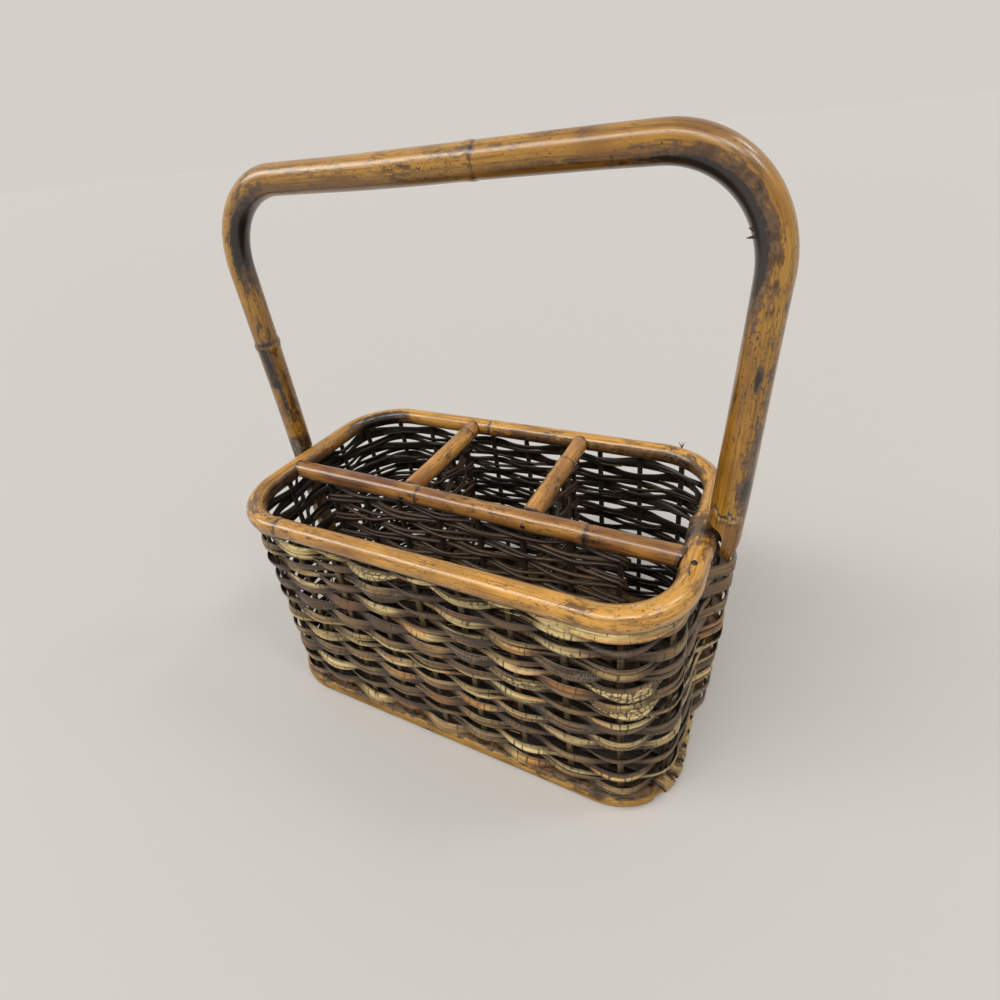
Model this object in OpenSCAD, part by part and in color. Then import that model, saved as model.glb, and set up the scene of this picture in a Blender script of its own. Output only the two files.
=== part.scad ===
// Woven cane cutlery caddy: split cane woven on upright stakes between a bent cane rim and a
// base hoop, with a tall fixed handle, one long compartment in front and three behind it.
// X runs along the basket, -Y is the front and Z is up. The origin lies on the table under
// the middle of the basket. All sizes are in millimetres.

/* [Basket] */
// Length between the middles of the two end rims
basket_l = 270; // [230:5:320]
// Width between the middles of the front and back rims
basket_w = 153; // [135:1:180]
// Corner radius at the middle of the rim
corner_r = 38; // [32:1:48]
// Height of the middle of the rim above the table
rim_h = 147; // [120:1:175]
// Length that the right end leans out from the rim down to the base
flare_end = 8; // [0:0.5:12]
// Width that the front and the back each lean out from the rim down to the base
flare_side = 4; // [0:0.5:8]

/* [Rim pole] */
// Thickness of the rim pole at the back and the left
rim_d = 12; // [10:0.5:14]
// Thickness of the rim pole at the front right corner
rim_corner_d = 13.5; // [11:0.5:16]
// Thickness of the rim pole at its root end, beside the right handle leg
rim_root_d = 17; // [13:0.5:19]
// Place of the joint of the rim's two ends, behind the middle of the right end
rim_joint_y = 12; // [10:1:24]

/* [Cane nodes] */
// Height of the raised ring at a node of the cane
node_swell = 0.5; // [0.2:0.1:0.8]
// Width of the raised ring
node_w = 3; // [2:0.5:5]

/* [Base hoop] */
// Thickness of the base hoop
hoop_d = 11; // [9:0.5:14]
// Depth that the underside of the hoop is shaved flat
hoop_flat = 0.5; // [0.3:0.1:1]
// Width of the cane strip bound round the hoop
binding_w = 5.4; // [3.5:0.1:5.8]
// Thickness of the binding strip
binding_t = 1.3; // [0.9:0.1:2]
// Step from one wrap of the binding to the next
binding_pitch = 6.9; // [6.4:0.1:9]

/* [Wall weave] */
// Number of uprights round the wall, the two handle tongues included
stake_count = 28; // [24:4:32]
// Width of the upright stakes, along the wall
stake_w = 3.6; // [3:0.2:4]
// Thickness of the upright stakes, across the wall
stake_t = 2.2; // [1.8:0.1:3]
// Depth that a stake is let into the rim and the hoop
stake_seat = 4; // [2:0.5:5]
// Number of weaver rows
row_count = 18; // [12:1:20]
// Thickness of a weaver strip
weaver_t = 1.5; // [1.2:0.1:2.4]
// Free height between two rows
row_gap = 0.9; // [0.4:0.1:2]

/* [Handle] */
// Thickness of the handle pole
handle_d = 15; // [13:0.5:18]
// Thickness of the handle's root end, at the foot of the right leg
handle_root_d = 17; // [15:0.5:20]
// Height of the middle of the top bar above the table
handle_h = 319.5; // [260:0.5:380]
// Bend radius at the middle of the pole
bend_r = 46; // [30:1:70]
// Distance of the middle of each leg outside the middle of the rim
leg_out = 9.6; // [9:0.2:13]
// Height of the cut that narrows a leg to its tongue, above the middle of the rim
shoulder_h = 14; // [0:1:20]
// Width of the tongue under each leg
tongue_w = 11; // [8:0.5:14]
// Clear gap between a tongue and the rim below the shoulder
tongue_gap = 2; // [0.2:0.2:3]
// Thickness that a tongue loses on its outer face, between the rim and the top weaver row
tongue_thin = 3; // [1:0.5:3.5]

/* [Dividers] */
// Thickness of the long divider bar
bar_d = 11.5; // [9:0.5:13]
// Place of the middle of the long bar, in front of the middle of the basket
bar_y = -20.4; // [-40:0.2:0]
// Angle by which the long bar lies askew
bar_skew = -1.1; // [-3:0.1:3]
// Thickness of the two cross bars
cross_d = 10.5; // [8:0.5:11]
// Place of the left cross bar
cross_left_x = -41; // [-60:1:-25]
// Place of the right cross bar
cross_right_x = 43; // [25:1:60]
// Thickness of the divider stakes
divider_stake_d = 3.6; // [2.5:0.1:5]
// Number of stakes under the long bar
long_stakes = 8; // [6:1:10]
// Number of stakes under each cross bar
cross_stakes = 4; // [3:1:5]
// Thickness of the divider twigs
twig_t = 2.4; // [1.6:0.1:3.2]
// Number of twig rows in each divider
twig_rows = 17; // [10:1:20]
// Free height between two twig rows
twig_gap = 2; // [0.6:0.1:3]
// Distance from the left wall to the long divider's first stake
panel_left = 28; // [20:1:40]
// Distance from the right wall to the long divider's last stake
panel_right = 37; // [25:1:50]
// Distance of a cross divider's end stakes from the long bar and the back wall
panel_end = 17; // [14:1:24]

/* [Bottom mat] */
// Number of sticks across the bottom
mat_sticks = 7; // [5:1:9]
// Thickness of the bottom sticks
mat_stick_d = 5; // [4:0.2:6]
// Thickness of the bottom weavers
mat_weaver_t = 1.8; // [1.2:0.1:2]
// Width of the bottom weavers
mat_weaver_w = 6.4; // [4:0.2:8]
// Step between bottom weavers
mat_pitch = 7.4; // [6:0.1:12]
// Depth that a bottom stick is let into the hoop
mat_seat = 2.5; // [1.5:0.5:4]

/* [Nails and fits] */
// Thickness of a nail
nail_d = 1.7; // [1.2:0.1:2.2]
// Width of a nail head
nail_head_d = 3.6; // [2.6:0.1:4.5]
// Thickness of a nail head
head_h = 0.9; // [0.6:0.1:1.2]
// Depth that a nail reaches into the second piece
nail_bite = 9; // [6:1:14]
// Place of the single nail in the right rim, behind the end of the front corner
rim_nail_in = 5; // [3:1:12]
// Gap between pieces that are coped or let into each other
fit_gap = 0.2; // [0.1:0.05:0.4]
// Gap between a strip and the stake that it passes
weave_gap = 0.35; // [0.3:0.05:0.6]

/* [Hidden] */
$fn = 72;
straight_x = basket_l / 2 - corner_r;
straight_y = basket_w / 2 - corner_r;
quarter = PI * corner_r / 2;
half_round = 2 * (straight_x + straight_y + quarter);
base_l = basket_l + flare_end;
base_w = basket_w + 2 * flare_side;
base_x = flare_end / 2;
base_straight_x = base_l / 2 - corner_r;
base_straight_y = base_w / 2 - corner_r;
stake_pitch = 2 * half_round / stake_count;
span_steps = 6;
twig_steps = 4;

hoop_z = hoop_d / 2 - hoop_flat;
hoop_top = hoop_d - hoop_flat;
bound_d = hoop_d - 2 * (binding_t + fit_gap);
bound_corner = 45;
bound_from = -base_straight_y - quarter * bound_corner / 90;
bound_to = base_straight_y;
wrap_rings = 16;
wrap_count = floor((bound_to - bound_from - binding_w) / binding_pitch);

rows_from = hoop_top + fit_gap;
rows_to = rim_h - rim_root_d / 2 - fit_gap;
row_pitch = (rows_to - rows_from) / row_count;
stake_top = rim_h - rim_d / 2 + stake_seat;
reach = weave_gap + weaver_t / 2;

leg_x = basket_l / 2 + leg_out;
tongue_end = hoop_top + fit_gap;
tongue_margin = (tongue_w / 2) / stake_pitch;
stake_margin = 0.06;
wave_roundness = 0.6;

mat_z = hoop_z;
mat_wave = mat_stick_d / 2 + weave_gap + mat_weaver_t / 2;
mat_top = mat_z + mat_wave + mat_weaver_t / 2;
mat_half = base_w / 2 - hoop_d / 2 - fit_gap;
mat_rows = 2 * floor((mat_half - mat_weaver_w / 2) / mat_pitch) + 1;
mat_spacing = 2 * base_straight_x / (mat_sticks - 1);

twig_wave = divider_stake_d / 2 + weave_gap + twig_t / 2;
twig_tail = divider_stake_d;
panel_floor = mat_top + fit_gap;
long_from = -basket_l / 2 + panel_left;
long_len = basket_l - panel_left - panel_right;

CROSS_X = [cross_left_x, cross_right_x];
ROW_NAMES = [for (k = [1 : row_count]) str("weaver_row_", k < 10 ? "0" : "", k)];

// Colours of the cane, the bark-dark weavers and the nails
HANDLE_COLOUR = [0.55, 0.36, 0.13];
RIM_COLOUR = [0.66, 0.45, 0.19];
BAR_COLOUR = [0.48, 0.27, 0.12];
STAKE_COLOUR = [0.30, 0.24, 0.17];
TWIG_COLOUR = [0.20, 0.15, 0.11];
NAIL_COLOUR = [0.45, 0.43, 0.40];
WEAVER_COLOURS = [[0.40, 0.29, 0.18], [0.62, 0.50, 0.30], [0.31, 0.25, 0.20]];

// Way round the wall, counted from the middle of the right end towards the back

function corner_at(middle, angle, out) = middle + (corner_r + out) * [cos(angle), sin(angle)];

function half_wall_at(d, out) =
    let (back_from = straight_y + quarter, back_to = back_from + 2 * straight_x)
    d < straight_y ? [basket_l / 2 + out, d]
    : d < back_from ? corner_at([straight_x, straight_y], 90 * (d - straight_y) / quarter, out)
    : d < back_to ? [straight_x - (d - back_from), basket_w / 2 + out]
    : d < back_to + quarter ? corner_at([-straight_x, straight_y], 90 + 90 * (d - back_to) / quarter, out)
    : [-basket_l / 2 - out, half_round - d];

function wall_at(d, out) =
    let (way = d - 2 * half_round * floor(d / (2 * half_round)))
    way < half_round ? half_wall_at(way, out) : -half_wall_at(way - half_round, out);

// The wall leans out towards the base: share is 0 at the rim and 1 at the hoop
function share(z) = (rim_h - z) / (rim_h - hoop_z);
function stretch_x(z) = 1 + share(z) * flare_end / basket_l;
function flared(p, z) =
    [p[0] * stretch_x(z) + share(z) * base_x, p[1] * (1 + 2 * share(z) * flare_side / basket_w)];

function stake_at(i, z) = let (p = flared(wall_at(i * stake_pitch, 0), z)) [p[0], p[1], z];
function stake_way(i) = let (out = wall_at(i * stake_pitch, 1) - wall_at(i * stake_pitch, 0)) atan2(out[1], out[0]);
function is_tongue(i) = i % (stake_count / 2) == 0;
function side_of(p) = abs(p[1]) <= straight_y ? (p[0] > 0 ? "right" : "left") : (p[1] > 0 ? "back" : "front");

// A bound stake stands on the binding, the others are let into the hoop
function is_bound(i) =
    let (d = i * stake_pitch, way = d > half_round ? d - 2 * half_round : d)
    way > bound_from - 2 * stake_w && way < bound_to + 2 * stake_w;

// Wave of a weaver from one upright to the next

function limit(v) = min(1, max(0, v));
function sway(f, m0, m1) =
    let (t = limit((f - m0) / (1 - m0 - m1)))
    wave_roundness * (1 - cos(180 * t)) / 2 + (1 - wave_roundness) * t;

function row_middle(row) = rows_from + (row - 0.5) * row_pitch;
function rim_d_at(side) = side > 0 ? rim_root_d : rim_d;
function leg_d_at(side) = side > 0 ? handle_root_d : handle_d;
function tongue_back(side) = rim_d_at(side) / 2 + tongue_gap;
function tongue_face(side) = leg_out + leg_d_at(side) / 2;
function tongue_front(side) = tongue_face(side) - tongue_thin;
function goes_out(i, row) = (i + row) % 2 == 0;
function margin(i) = is_tongue(i) ? tongue_margin : stake_margin;

// A tongue stands upright, so the leaning right wall draws nearer to it towards the base
function past_tongue(side, row) =
    (side > 0 ? -flare_end * share(row_middle(row)) : 0)
    + (goes_out(0, row) ? tongue_front(side) + reach : tongue_back(side) - reach);

function crossing(i, row) =
    is_tongue(i) ? past_tongue(i == stake_count / 2 ? -1 : 1, row) / stretch_x(row_middle(row))
    : (goes_out(i, row) ? 1 : -1) * (stake_t / 2 + reach);

function row_out(u, row) =
    let (i = floor(u), a = crossing(i, row), b = crossing(i + 1, row))
    a + (b - a) * sway(u - i, margin(i), margin(i + 1));

function row_path(row) =
    [for (k = [0 : stake_count * span_steps - 1])
        let (u = k / span_steps) flared(wall_at(u * stake_pitch, row_out(u, row)), row_middle(row))];

// Points beside a path, shifted along its normal to the left of its direction

function unit(v) = v / norm(v);
function beside(path, closed, shift) =
    let (n = len(path))
    [for (k = [0 : n - 1])
        let (before = closed ? path[(k + n - 1) % n] : path[max(k - 1, 0)],
             after = closed ? path[(k + 1) % n] : path[min(k + 1, n - 1)],
             along = unit(after - before))
        path[k] + shift * [-along[1], along[0]]];
function reversed(list) = [for (k = [len(list) - 1 : -1 : 0]) list[k]];
function numbers(from, count) = [for (k = [0 : count - 1]) from + k];

// Closed band of strip round a ring path, and open band of strip along a path

module ring_band(path, thick) {
    n = len(path);
    polygon(concat(beside(path, true, -thick / 2), beside(path, true, thick / 2)),
            [numbers(0, n), numbers(n, n)]);
}

module open_band(path, thick) {
    polygon(concat(beside(path, false, -thick / 2), reversed(beside(path, false, thick / 2))));
}

// Straight and bent lengths of pole

module run_x(from, to, d1, d2) {
    translate([from, 0, 0]) rotate([0, 90, 0]) cylinder(h = to - from, d1 = d1, d2 = d2);
}

module run_y(from, to, d1, d2) {
    translate([0, from, 0]) rotate([-90, 0, 0]) cylinder(h = to - from, d1 = d1, d2 = d2);
}

// Quarter or other share of a bend, starting on +X from its middle and turning towards +Y
module bend(radius, d, angle = 90) {
    rotate_extrude(angle = angle) translate([radius, 0]) circle(d = d);
}

// Raised ring at a node of the cane, round the X axis
module cane_node(d) {
    for (side = [0, 1]) mirror([side, 0, 0]) run_x(0, node_w / 2, d + 2 * node_swell, d - node_swell);
}

module at_corner(sx, sy, turn) {
    translate([sx * straight_x, sy * straight_y, 0]) rotate([0, 0, turn]) children();
}

// Nails: head up, shank down, from the surface that the head lies on

module nail(length) {
    translate([0, 0, -length]) cylinder(h = length + fit_gap, d = nail_d);
    translate([0, 0, fit_gap / 2]) cylinder(h = head_h, d1 = nail_head_d, d2 = nail_head_d - 2 * head_h);
}

module nail_hole(length) {
    translate([0, 0, -length - fit_gap]) cylinder(h = length + 4 * head_h, d = nail_d + fit_gap);
}

module driven(hole, length) {
    if (hole) nail_hole(length);
    else nail(length);
}

function bar_y_at(x) = bar_y + x * tan(bar_skew);
function rim_right_d(y) =
    rim_corner_d + (rim_root_d - rim_corner_d) * (y + straight_y) / (rim_joint_y + straight_y);

module bar_nails_at(hole) {
    for (x = CROSS_X) {
        translate([x, bar_y_at(x) - bar_d / 2, rim_h]) rotate([90, 0, 0]) driven(hole, bar_d + nail_bite);
        translate([x, basket_w / 2 + rim_d / 2, rim_h]) rotate([-90, 0, 0]) driven(hole, rim_d + nail_bite);
    }
    left_y = bar_y_at(-basket_l / 2);
    right_y = bar_y_at(basket_l / 2);
    right_d = rim_right_d(right_y);
    translate([-basket_l / 2 - rim_d / 2, left_y, rim_h])
        rotate([0, -90, 0]) driven(hole, rim_d + nail_bite);
    translate([basket_l / 2 + right_d / 2, right_y, rim_h])
        rotate([0, 90, 0]) driven(hole, right_d + nail_bite);
}

module rim_nail_at(hole) {
    y = -straight_y + rim_nail_in;
    translate([basket_l / 2, y, rim_h + rim_right_d(y + nail_head_d / 2) / 2]) driven(hole, nail_bite);
}

module handle_nails_at(hole) {
    for (side = [-1, 1])
        translate([side * (basket_l / 2 + tongue_face(side)), 0, rim_h + nail_head_d])
            rotate([0, side * 90, 0])
                driven(hole, tongue_face(side) - tongue_back(side) + nail_bite);
}

// Rim pole, with a gap at the joint of its two ends, grown by extra for coped pieces
module rim_pole(extra = 0) {
    thin = rim_d + 2 * extra;
    corner = rim_corner_d + 2 * extra;
    root = rim_root_d + 2 * extra;
    translate([0, 0, rim_h]) {
        translate([basket_l / 2, 0, 0]) {
            run_y(-straight_y, rim_joint_y, corner, root);
            run_y(rim_joint_y + fit_gap, straight_y, thin, thin);
        }
        at_corner(1, 1, 0) bend(corner_r, thin);
        translate([0, basket_w / 2, 0]) run_x(-straight_x, straight_x, thin, thin);
        at_corner(-1, 1, 90) bend(corner_r, thin);
        translate([-basket_l / 2, 0, 0]) run_y(-straight_y, straight_y, thin, thin);
        at_corner(-1, -1, 180) bend(corner_r, thin);
        translate([0, -basket_w / 2, 0]) run_x(-straight_x, straight_x, thin, corner);
        at_corner(1, -1, 270) bend(corner_r, corner);
    }
}

module top_rim() {
    color(RIM_COLOUR) difference() {
        union() {
            rim_pole();
            translate([-straight_x + node_w, -basket_w / 2, rim_h]) cane_node(rim_d);
            translate([cross_left_x + cross_d, basket_w / 2, rim_h]) cane_node(rim_d);
        }
        for (i = [0 : stake_count - 1]) if (!is_tongue(i)) stake(i, fit_gap);
        bar_nails_at(true);
        rim_nail_at(true);
        handle_nails_at(true);
    }
}

// Lower end of a leg, on the right: the shoulder sits on the rim, and the tongue hangs outside it
module leg_cut(side) {
    inner = basket_l / 2 + tongue_back(side);
    outer = basket_l / 2 + tongue_face(side);
    thin = basket_l / 2 + tongue_front(side);
    depth = 2 * handle_d;
    translate([inner - depth, -depth / 2, 0]) cube([depth, depth, rim_h]);
    for (flip = [0, 1]) mirror([0, flip, 0])
        translate([inner - depth, tongue_w / 2, 0]) cube([2 * depth, depth, rim_h + shoulder_h]);
    translate([0, depth / 2, 0]) rotate([90, 0, 0]) linear_extrude(depth)
        polygon([[outer, rim_h], [outer + depth, rim_h], [outer + depth, 0], [thin, 0], [thin, rows_to]]);
}

module handle_leg(side) {
    difference() {
        union() {
            translate([leg_x, 0, tongue_end]) cylinder(h = rim_h + handle_d - tongue_end, d = leg_d_at(side));
            translate([leg_x, 0, rim_h + handle_d])
                cylinder(h = handle_h - bend_r - rim_h - handle_d, d1 = leg_d_at(side), d2 = handle_d);
            translate([leg_x - bend_r, 0, handle_h - bend_r]) rotate([90, 0, 0]) bend(bend_r, handle_d);
        }
        leg_cut(side);
    }
}

module handle() {
    color(HANDLE_COLOUR) difference() {
        union() {
            handle_leg(1);
            mirror([1, 0, 0]) handle_leg(-1);
            translate([0, 0, handle_h]) {
                run_x(-leg_x + bend_r, leg_x - bend_r, handle_d, handle_d);
                translate([handle_d, 0, 0]) cane_node(handle_d);
            }
            translate([-leg_x, 0, handle_h - 2 * bend_r]) rotate([0, 90, 0]) cane_node(handle_d);
        }
        rim_pole(fit_gap);
        handle_nails_at(true);
    }
}

module at_long_bar() {
    translate([0, bar_y, 0]) rotate([0, 0, bar_skew]) children();
}

module long_bar_pole(extra = 0) {
    at_long_bar() translate([0, 0, rim_h])
        run_x(-basket_l / 2, basket_l / 2, bar_d + 2 * extra, bar_d + 2 * extra);
}

module long_divider_bar() {
    color(BAR_COLOUR) difference() {
        union() {
            long_bar_pole();
            for (x = [cross_left_x + cross_d / 2, cross_right_x + 2 * cross_d])
                at_long_bar() translate([x, 0, rim_h]) cane_node(bar_d);
        }
        rim_pole(fit_gap);
        at_long_bar() translate([long_from, 0, 0]) panel_uprights(long_len, long_stakes, bar_d, fit_gap);
        bar_nails_at(true);
    }
}

module cross_bar(x) {
    difference() {
        union() {
            translate([x, 0, rim_h]) run_y(bar_y_at(x), basket_w / 2, cross_d, cross_d);
            translate([x, basket_w / 2 - panel_end, rim_h]) rotate([0, 0, 90]) cane_node(cross_d);
        }
        long_bar_pole(fit_gap);
        rim_pole(fit_gap);
        at_cross(x) panel_uprights(cross_len(x), cross_stakes, cross_d, fit_gap);
        bar_nails_at(true);
    }
}

module cross_bar_left() { color(RIM_COLOUR) cross_bar(cross_left_x); }
module cross_bar_right() { color(RIM_COLOUR) cross_bar(cross_right_x); }

// Base hoop: thinned where the binding covers its joint, and shaved flat underneath
module base_hoop() {
    color(RIM_COLOUR) difference() {
        translate([base_x, 0, hoop_z]) {
            translate([base_l / 2, 0, 0]) run_y(-base_straight_y, base_straight_y, bound_d, bound_d);
            at_base_corner(1, 1, 0) bend(corner_r, hoop_d);
            translate([0, base_w / 2, 0]) run_x(-base_straight_x, base_straight_x, hoop_d, hoop_d);
            at_base_corner(-1, 1, 90) bend(corner_r, hoop_d);
            translate([-base_l / 2, 0, 0]) run_y(-base_straight_y, base_straight_y, hoop_d, hoop_d);
            at_base_corner(-1, -1, 180) bend(corner_r, hoop_d);
            translate([0, -base_w / 2, 0]) run_x(-base_straight_x, base_straight_x, hoop_d, hoop_d);
            at_base_corner(1, -1, 270) bend(corner_r, hoop_d, 90 - bound_corner);
            at_base_corner(1, -1, 360 - bound_corner) bend(corner_r, bound_d, bound_corner);
        }
        below_table();
        for (i = [0 : stake_count - 1]) if (!is_tongue(i) && !is_bound(i)) stake(i, fit_gap);
        base_stick_rods(mat_stick_d + 2 * fit_gap, mat_seat + fit_gap);
    }
}

module at_base_corner(sx, sy, turn) {
    translate([sx * base_straight_x, sy * base_straight_y, 0]) rotate([0, 0, turn]) children();
}

module below_table() {
    translate([-basket_l, -basket_w, -hoop_d]) cube([2 * basket_l, 2 * basket_w, hoop_d]);
}

// Binding: one strip wound along the hoop, six points to a section
STRIP = [[-0.5, 0], [0.5, 0], [0.5, 0.5], [0.3, 1], [-0.3, 1], [-0.5, 0.5]];

function base_end_at(way, out) =
    way > -base_straight_y ? [base_x + base_l / 2 + out, way]
    : [base_x, 0] + corner_at([base_straight_x, -base_straight_y], 90 * (way + base_straight_y) / quarter, out);

function wrap_point(turn, corner) =
    let (way = bound_from + binding_w / 2 + turn * binding_pitch + corner[0] * binding_w,
         radius = bound_d / 2 + fit_gap + corner[1] * binding_t,
         angle = -360 * turn - 90,
         p = base_end_at(way, radius * cos(angle)))
    [p[0], p[1], hoop_z + radius * sin(angle)];

binding_points = [for (k = [0 : wrap_count * wrap_rings], c = STRIP) wrap_point(k / wrap_rings, c)];
function shifted(face, by) = [for (v = face) v + by];
function binding_faces(rings, n) = concat(
    [for (j = [1 : n - 2]) [0, j, j + 1]],
    [for (j = [1 : n - 2]) shifted([0, j + 1, j], (rings - 1) * n)],
    [for (k = [0 : rings - 2], j = [0 : n - 1]) shifted([j, n + j, (j + 1) % n], k * n)],
    [for (k = [0 : rings - 2], j = [0 : n - 1]) shifted([(j + 1) % n, n + j, n + (j + 1) % n], k * n)]);

binding_gap = min([for (k = [0 : (wrap_count - 1) * wrap_rings], side = [0, 0.5])
    norm(wrap_point(k / wrap_rings, [0.5, side]) - wrap_point(k / wrap_rings + 1, [-0.5, side]))]);
echo(str("Least gap between wraps of the binding: ", binding_gap));

module base_hoop_binding() {
    color([0.70, 0.55, 0.30]) difference() {
        polyhedron(binding_points, binding_faces(wrap_count * wrap_rings + 1, len(STRIP)));
        below_table();
    }
}

// One flat stake, leaning with the wall and facing out of it, grown by extra for the holes that it stands in
module stake(i, extra = 0) {
    foot = stake_at(i, is_bound(i) ? hoop_top + 2 * fit_gap : hoop_top - stake_seat - extra);
    run = stake_at(i, stake_top + extra) - foot;
    lean = atan2(run[1], run[0]);
    translate(foot) rotate([0, acos(run[2] / norm(run)), lean]) rotate([0, 0, stake_way(i) - lean])
        translate([-(stake_t + extra) / 2, -(stake_w + extra) / 2, 0])
            cube([stake_t + extra, stake_w + extra, norm(run)]);
}

// Stakes of one side of the wall
module stakes(side) {
    color(STAKE_COLOUR)
        for (i = [0 : stake_count - 1])
            if (!is_tongue(i) && side_of(stake_at(i, rim_h)) == side) stake(i);
}

module weaver_row(row) {
    color(WEAVER_COLOURS[row % len(WEAVER_COLOURS)])
        translate([0, 0, row_middle(row) - (row_pitch - row_gap) / 2])
            linear_extrude(row_pitch - row_gap) ring_band(row_path(row), weaver_t);
}

// Divider panels hang along +X from their first stake, under a bar of a given thickness

module panel_uprights(length, count, d, extra = 0) {
    for (k = [0 : count - 1])
        translate([k * length / (count - 1), 0, panel_floor])
            cylinder(h = rim_h - d / 2 + stake_seat + extra - panel_floor, d = divider_stake_d + 2 * extra);
}

function twig_path(length, count, row) =
    let (spans = count - 1)
    [for (k = [-1 : spans * twig_steps + 1])
        let (u = k / twig_steps, edge = k < 0 ? -twig_tail : k > spans * twig_steps ? length + twig_tail : u / spans * length)
        [edge, twig_wave * cos(180 * (limit(u / spans) * spans + row))]];

module panel_twigs(length, count, d) {
    pitch = (rim_h - d / 2 - panel_floor) / twig_rows;
    for (row = [0 : twig_rows - 1])
        translate([0, 0, panel_floor + row * pitch + twig_gap / 2])
            linear_extrude(pitch - twig_gap) open_band(twig_path(length, count, row), twig_t);
}

function cross_from(x) = bar_y_at(x) + panel_end;
function cross_len(x) = basket_w / 2 - panel_end - cross_from(x);
module at_cross(x) {
    translate([x, cross_from(x), 0]) rotate([0, 0, 90]) children();
}

module long_divider_stakes() {
    color(STAKE_COLOUR) at_long_bar() translate([long_from, 0, 0])
        panel_uprights(long_len, long_stakes, bar_d);
}

module long_divider_weavers() {
    color(TWIG_COLOUR) at_long_bar() translate([long_from, 0, 0])
        panel_twigs(long_len, long_stakes, bar_d);
}

module cross_divider_stakes(x) {
    color(STAKE_COLOUR) at_cross(x) panel_uprights(cross_len(x), cross_stakes, cross_d);
}

module cross_divider_weavers(x) {
    color(TWIG_COLOUR) at_cross(x) panel_twigs(cross_len(x), cross_stakes, cross_d);
}

// Bottom mat: sticks across the bottom, and strips woven over and under them

module base_stick_rods(d, seat) {
    for (k = [0 : mat_sticks - 1])
        translate([base_x - base_straight_x + k * mat_spacing, 0, mat_z])
            run_y(-base_w / 2 + hoop_d / 2 - seat, base_w / 2 - hoop_d / 2 + seat, d, d);
}

module base_sticks() { color(STAKE_COLOUR) base_stick_rods(mat_stick_d, mat_seat); }

function mat_reach(y) =
    let (over = max(0, abs(y) + mat_weaver_w / 2 - base_straight_y), r = corner_r - hoop_d / 2 - fit_gap)
    base_straight_x + sqrt(max(0, r * r - over * over));

function mat_path(end, row) =
    concat([[-end, mat_wave * cos(180 * row)]],
           [for (k = [0 : (mat_sticks - 1) * twig_steps])
               let (x = -base_straight_x + k / twig_steps * mat_spacing)
               [x, mat_wave * cos(180 * (k / twig_steps + row))]],
           [[end, mat_wave * cos(180 * (mat_sticks - 1 + row))]]);

module base_weavers() {
    color(TWIG_COLOUR)
        for (row = [0 : mat_rows - 1]) {
            y = (row - (mat_rows - 1) / 2) * mat_pitch;
            translate([base_x, y + mat_weaver_w / 2, mat_z]) rotate([90, 0, 0])
                linear_extrude(mat_weaver_w) open_band(mat_path(mat_reach(y), row), mat_weaver_t);
        }
}

module bar_nails() { color(NAIL_COLOUR) bar_nails_at(false); }
module rim_nail() { color(NAIL_COLOUR) rim_nail_at(false); }
module handle_nails() { color(NAIL_COLOUR) handle_nails_at(false); }

handle();
top_rim();
long_divider_bar();
cross_bar_left();
cross_bar_right();
base_hoop();
base_hoop_binding();
stakes("front");  // front_stakes
stakes("back");  // back_stakes
stakes("left");  // left_stakes
stakes("right");  // right_stakes
for (row = [1 : row_count])
    weaver_row(row);
long_divider_stakes();
long_divider_weavers();
cross_divider_stakes(cross_left_x);  // cross_divider_left_stakes
cross_divider_weavers(cross_left_x);  // cross_divider_left_weavers
cross_divider_stakes(cross_right_x);  // cross_divider_right_stakes
cross_divider_weavers(cross_right_x);  // cross_divider_right_weavers
base_sticks();
base_weavers();
bar_nails();
rim_nail();
handle_nails();
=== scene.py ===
# %% [markdown]
# # A woven cane cutlery caddy
# This lesson dresses a imported CAD model in Blender. The CAD gives the frame: where each pole, stake and
# weaver lies. Here each of them is made again as a natural piece, with uneven thickness, scorched bends,
# bark and worn crests, and then lit and given a camera.

# %% Open the frame
import math
import random

import bmesh
import bpy
from mathutils import Matrix, Vector, noise


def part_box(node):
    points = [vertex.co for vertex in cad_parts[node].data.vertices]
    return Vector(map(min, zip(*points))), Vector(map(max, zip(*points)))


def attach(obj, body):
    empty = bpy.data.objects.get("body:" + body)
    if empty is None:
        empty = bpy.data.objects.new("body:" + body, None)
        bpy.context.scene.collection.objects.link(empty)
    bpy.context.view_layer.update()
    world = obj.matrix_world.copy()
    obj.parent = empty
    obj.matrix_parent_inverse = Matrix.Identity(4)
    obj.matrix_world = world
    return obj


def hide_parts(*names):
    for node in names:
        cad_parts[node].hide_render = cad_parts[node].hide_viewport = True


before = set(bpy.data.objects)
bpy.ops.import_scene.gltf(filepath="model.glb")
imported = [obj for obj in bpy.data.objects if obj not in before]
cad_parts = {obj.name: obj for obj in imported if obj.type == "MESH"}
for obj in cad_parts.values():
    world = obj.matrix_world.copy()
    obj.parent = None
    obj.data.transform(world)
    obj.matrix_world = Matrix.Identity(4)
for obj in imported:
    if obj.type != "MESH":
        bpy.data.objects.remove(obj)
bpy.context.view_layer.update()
print("CAD nodes:", len(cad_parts))

# %% [markdown]
# ## Sizes
# The sizes that other pieces depend on are read from the frame, so that the looks follow the CAD. The rest
# are small natural sizes of cane, named once here. All are in metres.

# %% Sizes
MM = 0.001
RIGHT = Vector((1, 0, 0))
BACK = Vector((0, 1, 0))
UP = Vector((0, 0, 1))

hoop_low, hoop_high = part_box("base_hoop")
rim_low, rim_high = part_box("top_rim")
handle_low, handle_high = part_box("handle")

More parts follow.
